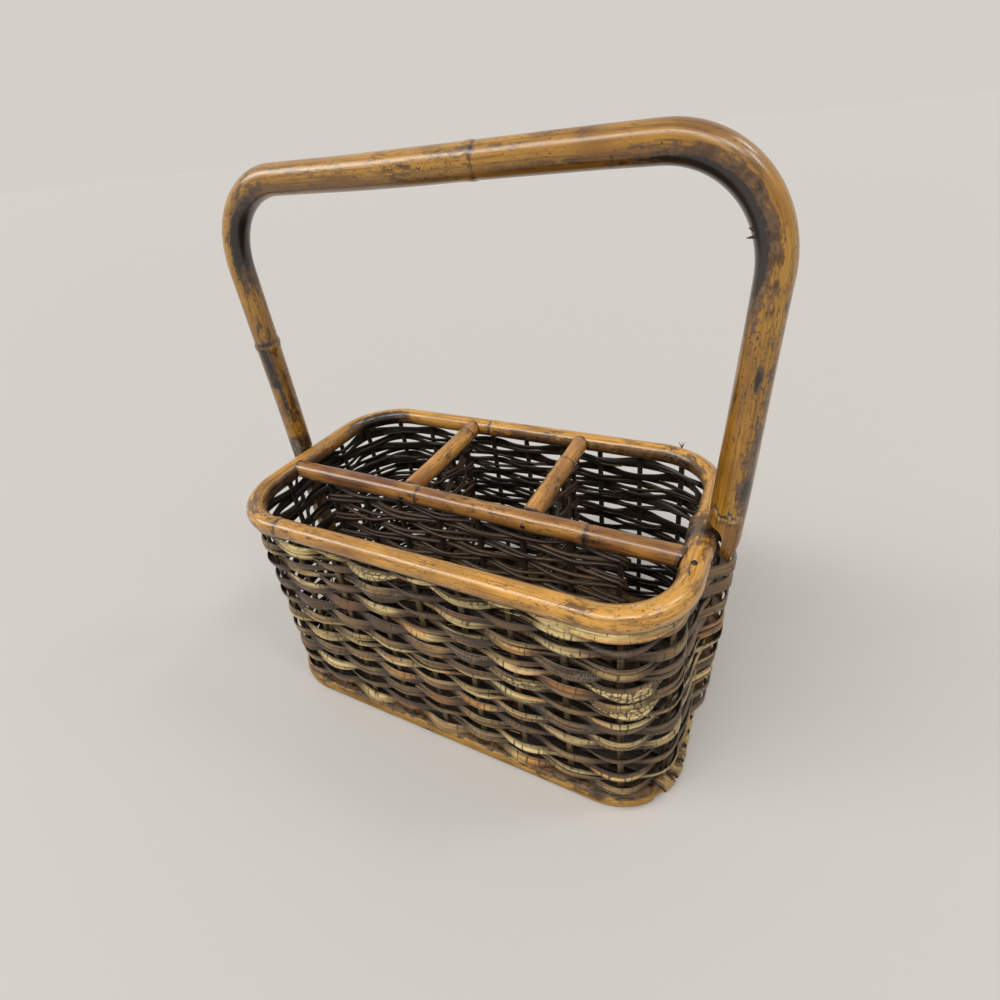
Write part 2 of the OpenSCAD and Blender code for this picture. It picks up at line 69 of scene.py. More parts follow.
hoop_flat = 0.5 * MM
hoop_d = hoop_high[2] - hoop_low[2] + hoop_flat
hoop_z = hoop_d / 2 - hoop_flat
node_swell = 0.5 * MM
corner_r = 38 * MM
rim_h = (rim_high[2] + rim_low[2]) / 2
rim_d = 12 * MM
rim_corner_d = 13.5 * MM
rim_root_d = rim_high[2] - rim_low[2]
rim_joint_y = 12 * MM
basket_l = rim_high[0] - rim_low[0] - (rim_root_d + rim_d) / 2
basket_w = rim_high[1] - rim_low[1] - (rim_corner_d + rim_d) / 2 - node_swell
base_l = hoop_high[0] - hoop_low[0] - hoop_d
base_w = hoop_high[1] - hoop_low[1] - hoop_d
base_x = (base_l - basket_l) / 2

handle_d = 15 * MM
handle_root_d = 17 * MM
handle_h = handle_high[2] - handle_d / 2 - node_swell
bend_r = 46 * MM
bend_h = handle_h - bend_r
leg_x = handle_high[0] - handle_root_d / 2
tongue_w = 11 * MM
tongue_gap = 2 * MM
shoulder_h = 14 * MM
tongue_end = handle_low[2]
tongue_thin = 3 * MM

stake_count = 28
end_to_end = stake_count // 2
stake_w = 3.6 * MM
stake_t = 2.2 * MM
stake_sink = 3.5 * MM
row_count = 18
row_slack = 0.45 * MM
weaver_t = 1.5 * MM
weave_gap = 0.35 * MM
fit_gap = 0.2 * MM
rows_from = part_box("weaver_row_01")[0][2] - row_slack
rows_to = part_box("weaver_row_%02d" % row_count)[1][2] + row_slack
row_pitch = (rows_to - rows_from) / row_count

bar_d = 11.5 * MM
bar_y = -20.4 * MM
bar_skew = math.radians(-1.1)
cross_d = 10.5 * MM
cross_x = {"left": -41 * MM, "right": 43 * MM}

straight_x = basket_l / 2 - corner_r
straight_y = basket_w / 2 - corner_r
quarter = math.pi * corner_r / 2
half_round = 2 * (straight_x + straight_y + quarter)
rim_len = 2 * half_round
stake_pitch = rim_len / stake_count
print("basket", round(basket_l, 4), "x", round(basket_w, 4))
print("rim at", round(rim_h, 4), "and handle at", round(handle_h, 4))

# %% [markdown]
# ## Small tools
# Cane is never even, so most sizes below pass through smooth noise. `ramp` fades a value between two
# places, `bump` marks one place, `uneven` gives a smooth random value along a piece, and `wall_at` walks
# round the wall.

# %% Small tools
def unit(x):
    return min(1.0, max(0.0, x))


def ramp(start, end, x):
    t = unit((x - start) / (end - start))
    return t * t * (3 - 2 * t)


def between(low, high, fade, x):
    return ramp(low, low + fade, x) * ramp(high, high - fade, x)


def bump(middle, width, x):
    return math.exp(-((x - middle) / width) ** 2)


def mixed(a, b, t):
    return a + (b - a) * t


def uneven(x, size, seed):
    return noise.noise(Vector((x / size, 13.7 * seed, 0.5)))


def outline_at(d, length, width):
    """Point on a rounded rectangle, d metres from the middle of its right end, and its outward way."""
    long_half = length / 2 - corner_r
    short_half = width / 2 - corner_r
    half = 2 * (long_half + short_half + quarter)
    way = d % (2 * half)
    flip = -1 if way >= half else 1
    way = way % half
    back_from = short_half + quarter
    back_to = back_from + 2 * long_half
    if way < short_half:
        at, out = (length / 2, way), (1, 0)
    elif way < back_from or back_to <= way < back_to + quarter:
        left = way >= back_to
        angle = (way - (back_to if left else short_half)) / corner_r + (math.pi / 2 if left else 0)
        out = (math.cos(angle), math.sin(angle))
        at = ((-long_half if left else long_half) + corner_r * out[0], short_half + corner_r * out[1])
    elif way < back_to:
        at, out = (long_half - (way - back_from), width / 2), (0, 1)
    else:
        at, out = (-length / 2, half - way), (-1, 0)
    return Vector((flip * at[0], flip * at[1], 0)), Vector((flip * out[0], flip * out[1], 0))


def wall_at(d):
    return outline_at(d, basket_l, basket_w)


def base_at(d):
    at, out = outline_at(d, base_l, base_w)
    return at + RIGHT * base_x, out


def leaning(z):
    """How far the wall has leaned in at a height: 0 at the rim and 1 at the hoop."""
    return (rim_h - z) / (rim_h - hoop_z)


def flared(point, z):
    t = leaning(z)
    x = point.x * mixed(1.0, base_l / basket_l, t) + t * base_x
    return Vector((x, point.y * mixed(1.0, base_w / basket_w, t), z))


def wall_way(x, y):
    """How far along the wall a place on it is, the other way round from wall_at."""
    steps = 2000
    places = [rim_len * k / steps for k in range(steps)]
    return min(places, key=lambda d: (wall_at(d)[0] - Vector((x, y, 0))).length)


print("round the wall:", round(rim_len, 4), "m")

# %% [markdown]
# ## Rolling a sheet into a pole
# Every pole, twig and strip starts as a flat grid of faces that is rolled round a path, as a sheet of paper
# is rolled into a tube. Each vertex keeps its place on the straightened cane in the attribute `cane`, so
# that grain and specks later follow the bends, and four painted marks: tone, wear with painted light,
# scorch with painted shade, and cut.
# A bevelled curve would be quicker, but its skin can't swell, be shaved flat or carry marks per vertex.

# %% The roller
MARKS = ("tone", "wear", "scorch", "cut")
WELD = 0.002 * MM


def new_piece():
    bm = bmesh.new()
    bm.verts.layers.float_vector.new("cane")
    for mark in MARKS:
        bm.verts.layers.float.new(mark)
    return bm


def roll(bm, steps, sides, station, surface):
    """Rolls a grid along a path. station(u) is worked out once per ring, surface places each vertex."""
    cane = bm.verts.layers.float_vector["cane"]
    layers = {mark: bm.verts.layers.float[mark] for mark in MARKS}
    rings = {}
    grid = bmesh.ops.create_grid(bm, x_segments=steps, y_segments=sides, size=1.0)
    for v in grid["verts"]:
        k = round((v.co.x + 1) / 2 * steps)
        if k not in rings:
            rings[k] = station(k / steps)
        co, straight, marks = surface(k / steps, math.pi * v.co.y, rings[k])
        v.co = co
        v[cane] = straight
        for mark, value in marks.items():
            v[layers[mark]] = value


def finished(name, bm, material, cad_node, sharp=60):
    """Welds the seams, closes the ends and turns the mesh into a piece that stands for its CAD node."""
    bmesh.ops.remove_doubles(bm, verts=bm.verts, dist=WELD)
    bmesh.ops.holes_fill(bm, edges=[e for e in bm.edges if e.is_boundary], sides=0)
    bmesh.ops.recalc_face_normals(bm, faces=bm.faces)
    mesh = bpy.data.meshes.new(name)
    bm.to_mesh(mesh)
    bm.free()
    mesh.shade_smooth()
    mesh.set_sharp_from_angle(angle=math.radians(sharp))
    mesh.materials.append(material)
    piece = bpy.data.objects.new(name, mesh)
    bpy.context.scene.collection.objects.link(piece)
    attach(piece, "root")
    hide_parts(cad_node)
    print(name, len(mesh.polygons), "faces")


# %% [markdown]
# ## Skin of a pole
# All poles share a few helpers. `spoke` points from the middle of a pole to its skin, `unrolled` gives the
# same place on the straightened cane, `skin_noise` makes the skin lumpy without a seam, and `collar` is a
# node of the cane: a swelling where a leaf once grew, with a groove just past it.

# %% Skin of a pole
def spoke(angle, first, second):
    return math.cos(angle) * first + math.sin(angle) * second


def unrolled(along, radius, angle):
    return Vector((along, radius * math.cos(angle), radius * math.sin(angle)))


def skin_noise(along, turns, angle, seed=0.0):
    return noise.noise(Vector((along, turns * math.cos(angle), turns * math.sin(angle) + seed)))


def collar(s, ring, swell, width, groove, step):
    """What a node adds to the radius. Its sizes are in millimetres."""
    raised = swell * MM * bump(ring, width * MM, s)
    return raised - groove * MM * bump(ring + step * MM, 0.8 * MM, s)


print("a rim node adds at most", round(1000 * collar(0.0, 0.0, 0.4, 2.0, 0.35, 2.4), 2), "mm")

# %% [markdown]
# ## The look of cane
# One node group works out what all cane has in common, from its straightened place: fine lengthwise
# fibres, broad mottling and clusters of dark specks. It gives back plain masks, and each material mixes its
# own colours from them. A picture of cane would repeat from pole to pole, and noise never does. First come
# short helpers that add a node, link what is a socket and set what is a value.

# %% Node helpers
def node(tree, kind, inputs=None, **settings):
    made = tree.nodes.new(kind)
    for key, value in settings.items():
        setattr(made, key, value)
    for key, value in (inputs or {}).items():
        if isinstance(value, bpy.types.NodeSocket):
            tree.links.new(value, made.inputs[key])
        else:
            made.inputs[key].default_value = value
    return made


def stretched(tree, place, along, across):
    inputs = {0: place, 1: (along, across, across)}
    return node(tree, "ShaderNodeVectorMath", inputs, operation="MULTIPLY").outputs[0]


def stretched_noise(tree, place, along, across, detail=3.0, rough=0.5):
    scaled = stretched(tree, place, along, across)
    inputs = {"Vector": scaled, "Scale": 1.0, "Detail": detail, "Roughness": rough}
    return node(tree, "ShaderNodeTexNoise", inputs).outputs[0]


def cell_edges(tree, place, along, across):
    """Distance to the edge of the nearest cell of a crackled skin."""
    inputs = {"Vector": stretched(tree, place, along, across), "Scale": 1.0}
    return node(tree, "ShaderNodeTexVoronoi", inputs, feature="DISTANCE_TO_EDGE").outputs["Distance"]


def band(tree, value, low, high, to_low=0.0, to_high=1.0):
    made = node(tree, "ShaderNodeMapRange", {0: value, 1: low, 2: high, 3: to_low, 4: to_high})
    return made.outputs[0]


def maths(tree, way, a, b):
    return node(tree, "ShaderNodeMath", {0: a, 1: b}, operation=way).outputs[0]


def mix_colour(tree, factor, a, b, way="MIX"):
    made = node(tree, "ShaderNodeMix", {"Factor": factor}, data_type="RGBA", blend_type=way)
    for key, value in ((6, a), (7, b)):
        if isinstance(value, bpy.types.NodeSocket):
            tree.links.new(value, made.inputs[key])
        else:
            made.inputs[key].default_value = (*value, 1.0)
    return made.outputs[2]


def stained(tree, colour, mask, low, high, most, stain, way="MIX"):
    """The colour with a stain over it, where a mask runs from low to high."""
    return mix_colour(tree, band(tree, mask, low, high, 0.0, most), colour, stain, way)


print("node helpers ready")

# %% [markdown]
# ## Cane grain
# Every mask is noise stretched along the cane. Long, thin noise makes fibres and streaks, broad noise makes
# mottling, and two noises multiplied make specks that come in clusters. A crack is a thin line where a wavy
# noise crosses its middle value.

# %% Cane grain group
GRAIN_MASKS = ("Fibre", "Streak", "Mottle", "Speck", "Blotch", "Slow", "Ragged", "Wrinkle", "Crack")
grain = bpy.data.node_groups.new("Cane grain", "ShaderNodeTree")
grain.interface.new_socket("Place", in_out="INPUT", socket_type="NodeSocketVector")
for mask in GRAIN_MASKS:
    grain.interface.new_socket(mask, in_out="OUTPUT", socket_type="NodeSocketFloat")
grain_out = node(grain, "NodeGroupOutput")
cane_place = node(grain, "NodeGroupInput").outputs["Place"]


def grain_noise(along, across, detail=3.0, rough=0.5):
    return stretched_noise(grain, cane_place, along, across, detail, rough)


mottle = grain_noise(40.0, 110.0, 4.0)
fine = band(grain, grain_noise(620.0, 980.0, 2.0), 0.6, 0.68)
cluster = band(grain, grain_noise(38.0, 70.0, 2.0), 0.46, 0.6)
smear = band(grain, grain_noise(70.0, 190.0, 8.0, 0.68), 0.52, 0.6)
patch = band(grain, grain_noise(17.0, 45.0, 2.0), 0.47, 0.62)
off_middle = maths(grain, "SUBTRACT", grain_noise(34.0, 300.0, 3.0, 0.55), 0.5)
thin = band(grain, maths(grain, "ABSOLUTE", off_middle, 0.0), 0.014, 0.005)
mask_values = {
    "Fibre": grain_noise(22.0, 900.0),
    "Streak": grain_noise(18.0, 430.0, 3.0, 0.6),
    "Mottle": mottle,
    "Speck": maths(grain, "MULTIPLY", fine, cluster),
    "Blotch": maths(grain, "MULTIPLY", smear, patch),
    "Slow": grain_noise(12.0, 40.0, 2.0),
    "Ragged": grain_noise(110.0, 320.0, 6.0, 0.7),
    "Wrinkle": grain_noise(430.0, 70.0, 3.0),
    "Crack": maths(grain, "MULTIPLY", thin, band(grain, mottle, 0.44, 0.54)),
}
for mask in GRAIN_MASKS:
    grain.links.new(mask_values[mask], grain_out.inputs[mask])
print("group", grain.name, "with", len(grain.nodes), "nodes")

# %% [markdown]
# ## Pole materials
# A pole is varnished: a golden body under a clear coat, darker along the fibres, freckled with specks and
# burnt brown-black where the scorch mark says so; the same mark also paints shade on the rim's lower side
# and at the bar ends. `cut` shows raw pale wood. The wear mark lightens worn places and also paints a
# highlight on the tops and shade on the undersides, and where it is high the varnish is gone.

# %% Pole materials
# The pale rubbed wood also shows the painted top highlight, and the browned and charred colours also paint
# shade.
WORN_AND_LIT_WOOD = (0.6, 0.44, 0.22)
BROWN_BURN_AND_SHADE = (0.1, 0.056, 0.034)
BLACK_BURN_AND_SHADE = (0.008, 0.006, 0.005)
SPECK = (0.02, 0.011, 0.006)
RAW_PALE = (0.62, 0.46, 0.26)
RAW_DARK = (0.24, 0.15, 0.08)


def attribute(tree, name):
    return node(tree, "ShaderNodeAttribute", attribute_name=name)


def shader_of(material):
    material.use_nodes = True
    return next(n for n in material.node_tree.nodes if n.type == "BSDF_PRINCIPLED")


def cane_material(name):
    material = bpy.data.materials.new(name)
    shader = shader_of(material)
    tree = material.node_tree
    group = node(tree, "ShaderNodeGroup", node_tree=grain)
    tree.links.new(attribute(tree, "cane").outputs["Vector"], group.inputs["Place"])
    return material, tree, shader, group.outputs


def bumpy(tree, shader, height, strength):
    lumps = node(tree, "ShaderNodeBump", {"Strength": strength, "Distance": 0.4 * MM, "Height": height})
    tree.links.new(lumps.outputs[0], shader.inputs["Normal"])


def pole_material(name, pale, body, dark, speckled=0.8, gloss=0.3, coat=0.9):
    material, tree, shader, masks = cane_material(name)
    wear = attribute(tree, "wear").outputs["Fac"]
    cut = attribute(tree, "cut").outputs["Fac"]
    # Worn places and the painted highlight on the tops lighten the body; painted shade on the undersides
    # darkens it.
    lightened = maths(tree, "ADD", band(tree, masks["Mottle"], 0.3, 0.7), maths(tree, "MULTIPLY", wear, 1.5))
    lightness = maths(tree, "ADD", lightened, band(tree, masks["Slow"], 0.3, 0.7, -0.4, 0.4))
    rough_edge = band(tree, masks["Ragged"], 0.3, 0.7, -0.4, 0.4)
    worn_and_lit = maths(tree, "ADD", wear, rough_edge)
    burnt_and_shaded = maths(tree, "ADD", attribute(tree, "scorch").outputs["Fac"], rough_edge)
    wrinkled = mix_colour(tree, band(tree, masks["Wrinkle"], 0.45, 0.6), BROWN_BURN_AND_SHADE, dark)
    raw = mix_colour(tree, band(tree, masks["Fibre"], 0.4, 0.6), RAW_PALE, RAW_DARK)
    colour = mix_colour(tree, lightness, body, pale)
    colour = stained(tree, colour, masks["Fibre"], 0.5, 0.7, 0.5, dark)
    colour = stained(tree, colour, masks["Streak"], 0.56, 0.68, 0.3, dark)
    colour = stained(tree, colour, masks["Blotch"], 0.0, 1.0, 0.85, dark)
    colour = stained(tree, colour, masks["Crack"], 0.0, 1.0, 0.8, dark)
    # Pale wood where wear is high, which the painted top highlight also reaches; the scorch mark browns and
    # blackens both burns and painted shade.
    colour = stained(tree, colour, worn_and_lit, 0.45, 0.6, 0.8, WORN_AND_LIT_WOOD)
    colour = stained(tree, colour, burnt_and_shaded, 0.3, 0.45, 0.85, wrinkled)
    colour = stained(tree, colour, burnt_and_shaded, 0.7, 0.9, 0.95, BLACK_BURN_AND_SHADE)
    colour = stained(tree, colour, masks["Speck"], 0.0, 1.0, speckled, SPECK)
    colour = mix_colour(tree, cut, colour, raw)
    tree.links.new(colour, shader.inputs["Base Color"])
    tree.links.new(band(tree, cut, 0.0, 1.0, gloss, 0.75), shader.inputs["Roughness"])
    shader.inputs["Coat Weight"].default_value = coat
    shader.inputs["Coat Roughness"].default_value = 0.24
    shader.inputs["Coat IOR"].default_value = 1.62
    shader.inputs["Specular IOR Level"].default_value = 0.15
    bumpy(tree, shader, masks["Ragged"], 0.4)
    return material


handle_look = pole_material(
    "Handle cane", (0.43, 0.215, 0.022), (0.23, 0.098, 0.008), (0.05, 0.019, 0.004), 0.9)
rim_look = pole_material(
    "Rim cane", (0.64, 0.33, 0.056), (0.28, 0.118, 0.015), (0.065, 0.023, 0.005), 0.9)
bar_look = pole_material(
    "Bar cane", (0.46, 0.22, 0.045), (0.16, 0.052, 0.012), (0.03, 0.011, 0.004), 0.8, 0.28)
cross_look = pole_material(
    "Cross bar cane", (0.62, 0.295, 0.045), (0.29, 0.1, 0.012), (0.05, 0.016, 0.004), 0.9)
hoop_look = pole_material(
    "Hoop cane", (0.4, 0.235, 0.06), (0.24, 0.125, 0.027), (0.05, 0.026, 0.009), 0.9, 0.45, 0.1)
binding_look = pole_material(
    "Binding cane", (0.5, 0.36, 0.155), (0.33, 0.215, 0.08), (0.05, 0.03, 0.014), 0.6, 0.45, 0.1)
print("pole materials:", len(bpy.data.materials))

# %% [markdown]
# ## Weaver materials
# Split cane and bark come in many tones. The mark `tone` runs from 0 for black bark to 1 for straw, the
# wear mark is high on the outward crests where the skin is rubbed pale, and the scorch mark is painted
# shade, high in the hollows.
# Short cross cracks break the straw, a crackled net covers the strips marked `cut`, and bark is flecked
# with white.

# %% Weaver materials
TONES = ((0.0, (0.018, 0.012, 0.008)), (0.25, (0.065, 0.033, 0.013)), (0.45, (0.16, 0.088, 0.036)),
         (0.62, (0.25, 0.158, 0.058)), (0.8, (0.46, 0.32, 0.11)), (1.0, (0.7, 0.555, 0.25)))
REDDER = (1.1, 0.76, 0.55)
DULLER = (0.98, 0.87, 0.95)
DARK_FIBRE = (0.05, 0.03, 0.016)
DARK_STREAK = (0.06, 0.034, 0.017)
PALE_FIBRE = (0.2, 0.135, 0.08)
BROWN_STAIN = (0.075, 0.042, 0.02)
CRACK = (0.03, 0.018, 0.01)
WHITE_FLECK = (0.38, 0.33, 0.26)
HOLLOW_SHADE = (0.012, 0.009, 0.007)


def tone_ladder(tree, tone):
    ladder = node(tree, "ShaderNodeValToRGB", {"Fac": tone})
    steps = ladder.color_ramp.elements
    for _ in range(len(TONES) - 2):
        steps.new(0.5)
    for step, (position, colour) in zip(steps, TONES):
        step.position = position
        step.color = (*colour, 1.0)
    return ladder.outputs[0]


def weaver_material(name, tint=(1.0, 1.0, 1.0)):
    material, tree, shader, masks = cane_material(name)
    cane = attribute(tree, "cane").outputs["Vector"]
    tone, wear, shade, net = (attribute(tree, mark).outputs["Fac"] for mark in MARKS)
    varied = maths(tree, "ADD", tone, band(tree, masks["Mottle"], 0.3, 0.7, -0.2, 0.2))
    lightened = maths(tree, "ADD", varied, maths(tree, "MULTIPLY", wear, 0.3))
    ticks = band(tree, stretched_noise(tree, cane, 520.0, 90.0, 2.0), 0.57, 0.61)
    cracks = maths(tree, "MULTIPLY", ticks, band(tree, masks["Mottle"], 0.38, 0.48))
    cells = band(tree, cell_edges(tree, cane, 900.0, 1300.0), 0.2, 0.32)
    flecks = maths(tree, "MULTIPLY", cells, band(tree, tone, 0.06, 0.02))
    flecks = maths(tree, "MULTIPLY", flecks, band(tree, masks["Mottle"], 0.46, 0.52))
    plates = band(tree, cell_edges(tree, cane, 260.0, 420.0), 0.12, 0.05)
    colour = mix_colour(tree, 1.0, tone_ladder(tree, lightened), tint, "MULTIPLY")
    colour = stained(tree, colour, masks["Slow"], 0.54, 0.62, 1.0, REDDER, "MULTIPLY")
    colour = stained(tree, colour, masks["Slow"], 0.46, 0.38, 1.0, DULLER, "MULTIPLY")
    colour = stained(tree, colour, masks["Fibre"], 0.46, 0.66, 0.65, DARK_FIBRE)
    colour = stained(tree, colour, masks["Streak"], 0.52, 0.66, 0.6, DARK_STREAK)
    colour = stained(tree, colour, masks["Fibre"], 0.47, 0.36, 0.6, PALE_FIBRE, "LIGHTEN")
    colour = stained(tree, colour, masks["Ragged"], 0.5, 0.64, 0.65, BROWN_STAIN)
    colour = stained(tree, colour, cracks, 0.0, 1.0, 0.8, CRACK)
    colour = stained(tree, colour, flecks, 0.0, 1.0, 0.8, WHITE_FLECK)
    colour = stained(tree, colour, maths(tree, "MULTIPLY", plates, net), 0.0, 1.0, 0.85, CRACK)
    # Painted shade from the scorch mark: hollows, edges and inner faces go near black.
    colour = stained(tree, colour, shade, 0.0, 1.0, 0.97, HOLLOW_SHADE)
    tree.links.new(colour, shader.inputs["Base Color"])
    shader.inputs["Roughness"].default_value = 0.4
    shader.inputs["Specular IOR Level"].default_value = 0.42
    rough = maths(tree, "SUBTRACT", masks["Fibre"], maths(tree, "MULTIPLY", cracks, 0.6))
    bumpy(tree, shader, rough, 0.5)
    return material


def plain_material(name, colour, roughness, metallic=0.0):
    material = bpy.data.materials.new(name)
    shader = shader_of(material)
    shader.inputs["Base Color"].default_value = (*colour, 1.0)
    shader.inputs["Metallic"].default_value = metallic
    shader.inputs["Roughness"].default_value = roughness
    return material


weaver_look = weaver_material("Weaver cane")
stake_look = weaver_material("Stake cane", (0.55, 0.66, 0.95))
twig_look = weaver_material("Dark twig", (0.74, 0.62, 0.54))
steel_look = plain_material("Nail steel", (0.075, 0.06, 0.05), 0.45, 1.0)
print("materials:", len(bpy.data.materials))

# %% [markdown]
# ## The handle's path
# One pole of cane, heated and bent twice. Its middle line is two straight legs, two quarter bends and a
# flat top, so a place along it is found from the length walked from the left foot. The pole thickens down
# the right leg, which is its root end, and a node swells the top.

# %% Handle path
leg_len = bend_h - tongue_end
bend_len = math.pi / 2 * bend_r
flat_len = 2 * (leg_x - bend_r)
handle_len = 2 * (leg_len + bend_len) + flat_len
top_node = leg_len + bend_len + flat_len / 2 + 19 * MM
leg_node_z = 229 * MM
leg_node = leg_node_z - tongue_end
node_step = 2.6 * MM


def handle_path(s):
    """Middle of the handle and its outward way, s metres from the foot of the left leg."""
    if s > handle_len / 2:
        at, out = handle_path(handle_len - s)
        return Vector((-at.x, 0, at.z)), Vector((-out.x, 0, out.z))
    if s < leg_len:
        return Vector((-leg_x, 0, tongue_end + s)), -RIGHT
    angle = min((s - leg_len) / bend_r, math.pi / 2)
    out = Vector((-math.cos(angle), 0, math.sin(angle)))
    over = max(0.0, s - leg_len - bend_len)
    return Vector((bend_r - leg_x + over, 0, bend_h)) + bend_r * out, out


def handle_station(u):
    s = handle_len * u
    at, out = handle_path(s)
    at = at + BACK * (0.7 * MM * uneven(s, 0.09, 3))
    sag = mixed(-1.4 * MM, 0.5 * MM, ramp(-0.06, 0.1, at.x)) if at.z > bend_h else 0.0
    at = at + UP * (sag * ramp(bend_h, handle_h, at.z))
    root = ramp(bend_h, rim_h + handle_d, at.z) if at.x > 0 else 0.0
    radius = mixed(handle_d * mixed(0.96, 1.0, ramp(0.1, 0.4, u)), handle_root_d, root) / 2
    radius *= 1 + 0.02 * uneven(s, 0.05, 4)
    return s, at, out, radius + collar(s, top_node, 0.35, 2.6, 0.35, 2.6)


print("handle pole:", round(handle_len, 4), "m long")

# %% [markdown]
# ## The handle's marks
# The marks tell how the handle was made. The former was hot, so the inside of both bends is burnt and the
# right one is browned all round. Dark varnish sits in the grooves past the nodes. A branch once grew from
# the left leg: its scar is a bud above the node and two channels below it. Each function paints one of
# these, as a sum of soft spots, which is easier to move than a painted image.

# %% Handle marks
left_bend = leg_len + bend_len * 0.36
right_bend = handle_len - leg_len - bend_len * 0.5
bud_z = 236 * MM


def bend_scorch(s, outer):
    left = 1.35 * bump(left_bend, 34 * MM, s) * ramp(-0.1, -0.55, outer)
    right = 1.15 * bump(right_bend, 42 * MM, s) * ramp(0.0, -0.65, outer)
    browned = 0.62 * bump(right_bend + 8 * MM, 42 * MM, s) * ramp(0.6, 0.1, outer)
    return left + right + browned


def groove_scorch(s, angle, slant):
    grooves = 0.5 * bump(top_node + node_step, 1.3 * MM, s) + 0.7 * bump(slant + node_step, 1.1 * MM, s)
    stain = 0.4 * bump(top_node - 6 * MM, 12 * MM, s)
    return grooves + stain * ramp(-0.1, 0.4, uneven(angle, 0.5, 8))


def left_leg_marks(z, angle):
    channel = 1.1 * between(199 * MM, leg_node_z, 3 * MM, z) * bump(-1.9, 0.5, angle)
    narrow = 1.1 * between(184 * MM, 207 * MM, 3 * MM, z) * bump(-2.24, 0.13, angle)
    stain = 0.4 * bump(182 * MM, 12 * MM, z)
    foot = 0.7 * ramp(169 * MM, 161 * MM, z) * ramp(112 * MM, 138 * MM, z)
    bud = math.hypot((z - bud_z) / (6 * MM), (angle + 2.4) / 0.45)
    scorch = channel + narrow + stain + foot + 0.55 * bump(1.0, 0.3, bud)
    return scorch, 0.35 * bump(0.0, 0.7, bud)


def right_leg_scorch(z, angle, on_leg):
    scorch = 0.5 * bump(177 * MM, 9 * MM, z) * bump(-0.8, 0.7, angle)
    scorch += 0.36 * bump(190 * MM, 26 * MM, z) * bump(-0.9, 0.6, angle)
    scorch += 0.3 * ramp(0.1, 0.7, math.cos(angle)) * ramp(150 * MM, 200 * MM, z) * on_leg
    burn = 2.2 * bump(235 * MM, 6 * MM, z) * bump(-1.35, 0.09, angle)
    return scorch + burn


print("left bend at", round(left_bend, 4), "and right bend at", round(right_bend, 4), "m")

# %% [markdown]
# ## The handle
# Below the rim each leg is halved: the shoulder sits on the rim and a thin tongue runs down inside the
# weave. The pole is rolled round its path first, and the tongue is then shaped by pushing vertices back to
# its flat faces. That keeps one skin from pole to tongue, where a cut with a boolean would tear the grain.

# %% Handle
def tongue_front(side, z):
    face = leg_x + (handle_root_d if side > 0 else handle_d) / 2
    return face - tongue_thin * unit((rim_h - z) / (rim_h - rows_to))


def on_tongue(co, side):
    rim_r = (rim_root_d if side > 0 else rim_d) / 2 + (1 * MM if co.z > rows_to else tongue_gap)
    inner = basket_l / 2 + math.sqrt(max(0.0, rim_r ** 2 - max(0.0, co.z - rim_h) ** 2))
    x = side * max(inner, min(abs(co.x), tongue_front(side, co.z)))
    return Vector((x, max(-tongue_w / 2, min(tongue_w / 2, co.y)), co.z))


def handle_surface(u, angle, ring):
    s, at, out, radius = ring
    side = 1 if at.x > 0 else -1
    on_leg = at.z < bend_h
    outer = math.cos(angle)
    slant = leg_node - 2.2 * MM * math.cos(angle + 2.0)
    radius += collar(s, slant, 0.8, 2.4, 0.3, 2.6)
    co = at + radius * (1 + 0.012 * skin_noise(s * 30, 3, angle)) * spoke(angle, out, BACK)
    scorch = bend_scorch(s, outer) + groove_scorch(s, angle, slant)
    cut = 0.0
    wear = 0.0
    sawn = noise.noise(Vector((9 * outer, 9 * math.sin(angle), side)))
    shoulder = rim_h + shoulder_h + 1.6 * MM * sawn
    if on_leg and co.z < shoulder:
        co = on_tongue(co, side)
        # The tongue darkens downward inside the weave: painted shade.
        scorch += mixed(0.1, 0.6, ramp(rim_h - 4 * MM, rows_to - 4 * MM, co.z))
    elif on_leg and side > 0:
        chipped = ramp(0.2, -0.5, math.sin(angle)) * ramp(0.9, 0.2, outer)
        above = co.z - shoulder - (2.5 + 5 * uneven(angle, 0.35, 6)) * MM
        cut = 0.85 * chipped * bump(0, 0.9 * MM, above)
        scorch += 1.5 * chipped * bump(1.5 * MM, 0.7 * MM, above)
    elif not on_leg:
        # On the top bar and bends: painted highlight along the upper front and painted shade on the
        # underside; less lightening towards the right end.
        wear = 0.22 * ramp(0.4, 0.9, math.cos(angle + 1.0)) - 0.3 * ramp(0.1, -0.6, outer)
        wear -= 0.16 * ramp(-20 * MM, 50 * MM, at.x)
    if side > 0:
        scorch += right_leg_scorch(at.z, angle, on_leg)
    else:
        leg_scorch, leg_wear = left_leg_marks(at.z, angle)
        scorch += leg_scorch
        wear += leg_wear
    return co, unrolled(s, radius, angle), {"scorch": scorch, "cut": cut, "wear": wear}


def stood(at, way):
    """A frame at a place whose upright lies along a way."""
    return Matrix.Translation(at) @ UP.rotation_difference(way).to_matrix().to_4x4()


def spike(bm, foot, tip, radius):
    """A thorn or a stiff hair, burnt black."""
    place = stood((foot + tip) / 2, tip - foot)
    sizes = {"radius1": radius, "radius2": 0.15 * radius, "depth": (tip - foot).length}
    made = bmesh.ops.create_cone(bm, cap_ends=True, segments=8, matrix=place, **sizes)
    for v in made["verts"]:
        v[bm.verts.layers.float["scorch"]] = 1.4


thorns = (((0.1377, -0.004, 0.2889), (0.1327, -0.004, 0.2881)),
          ((0.1375, -0.004, 0.2894), (0.1329, -0.004, 0.2916)))
bm = new_piece()
roll(bm, 760, 40, handle_station, handle_surface)
for foot, tip in thorns:
    spike(bm, Vector(foot), Vector(tip), 1.2 * MM)
finished("handle_pole", bm, handle_look, "handle")

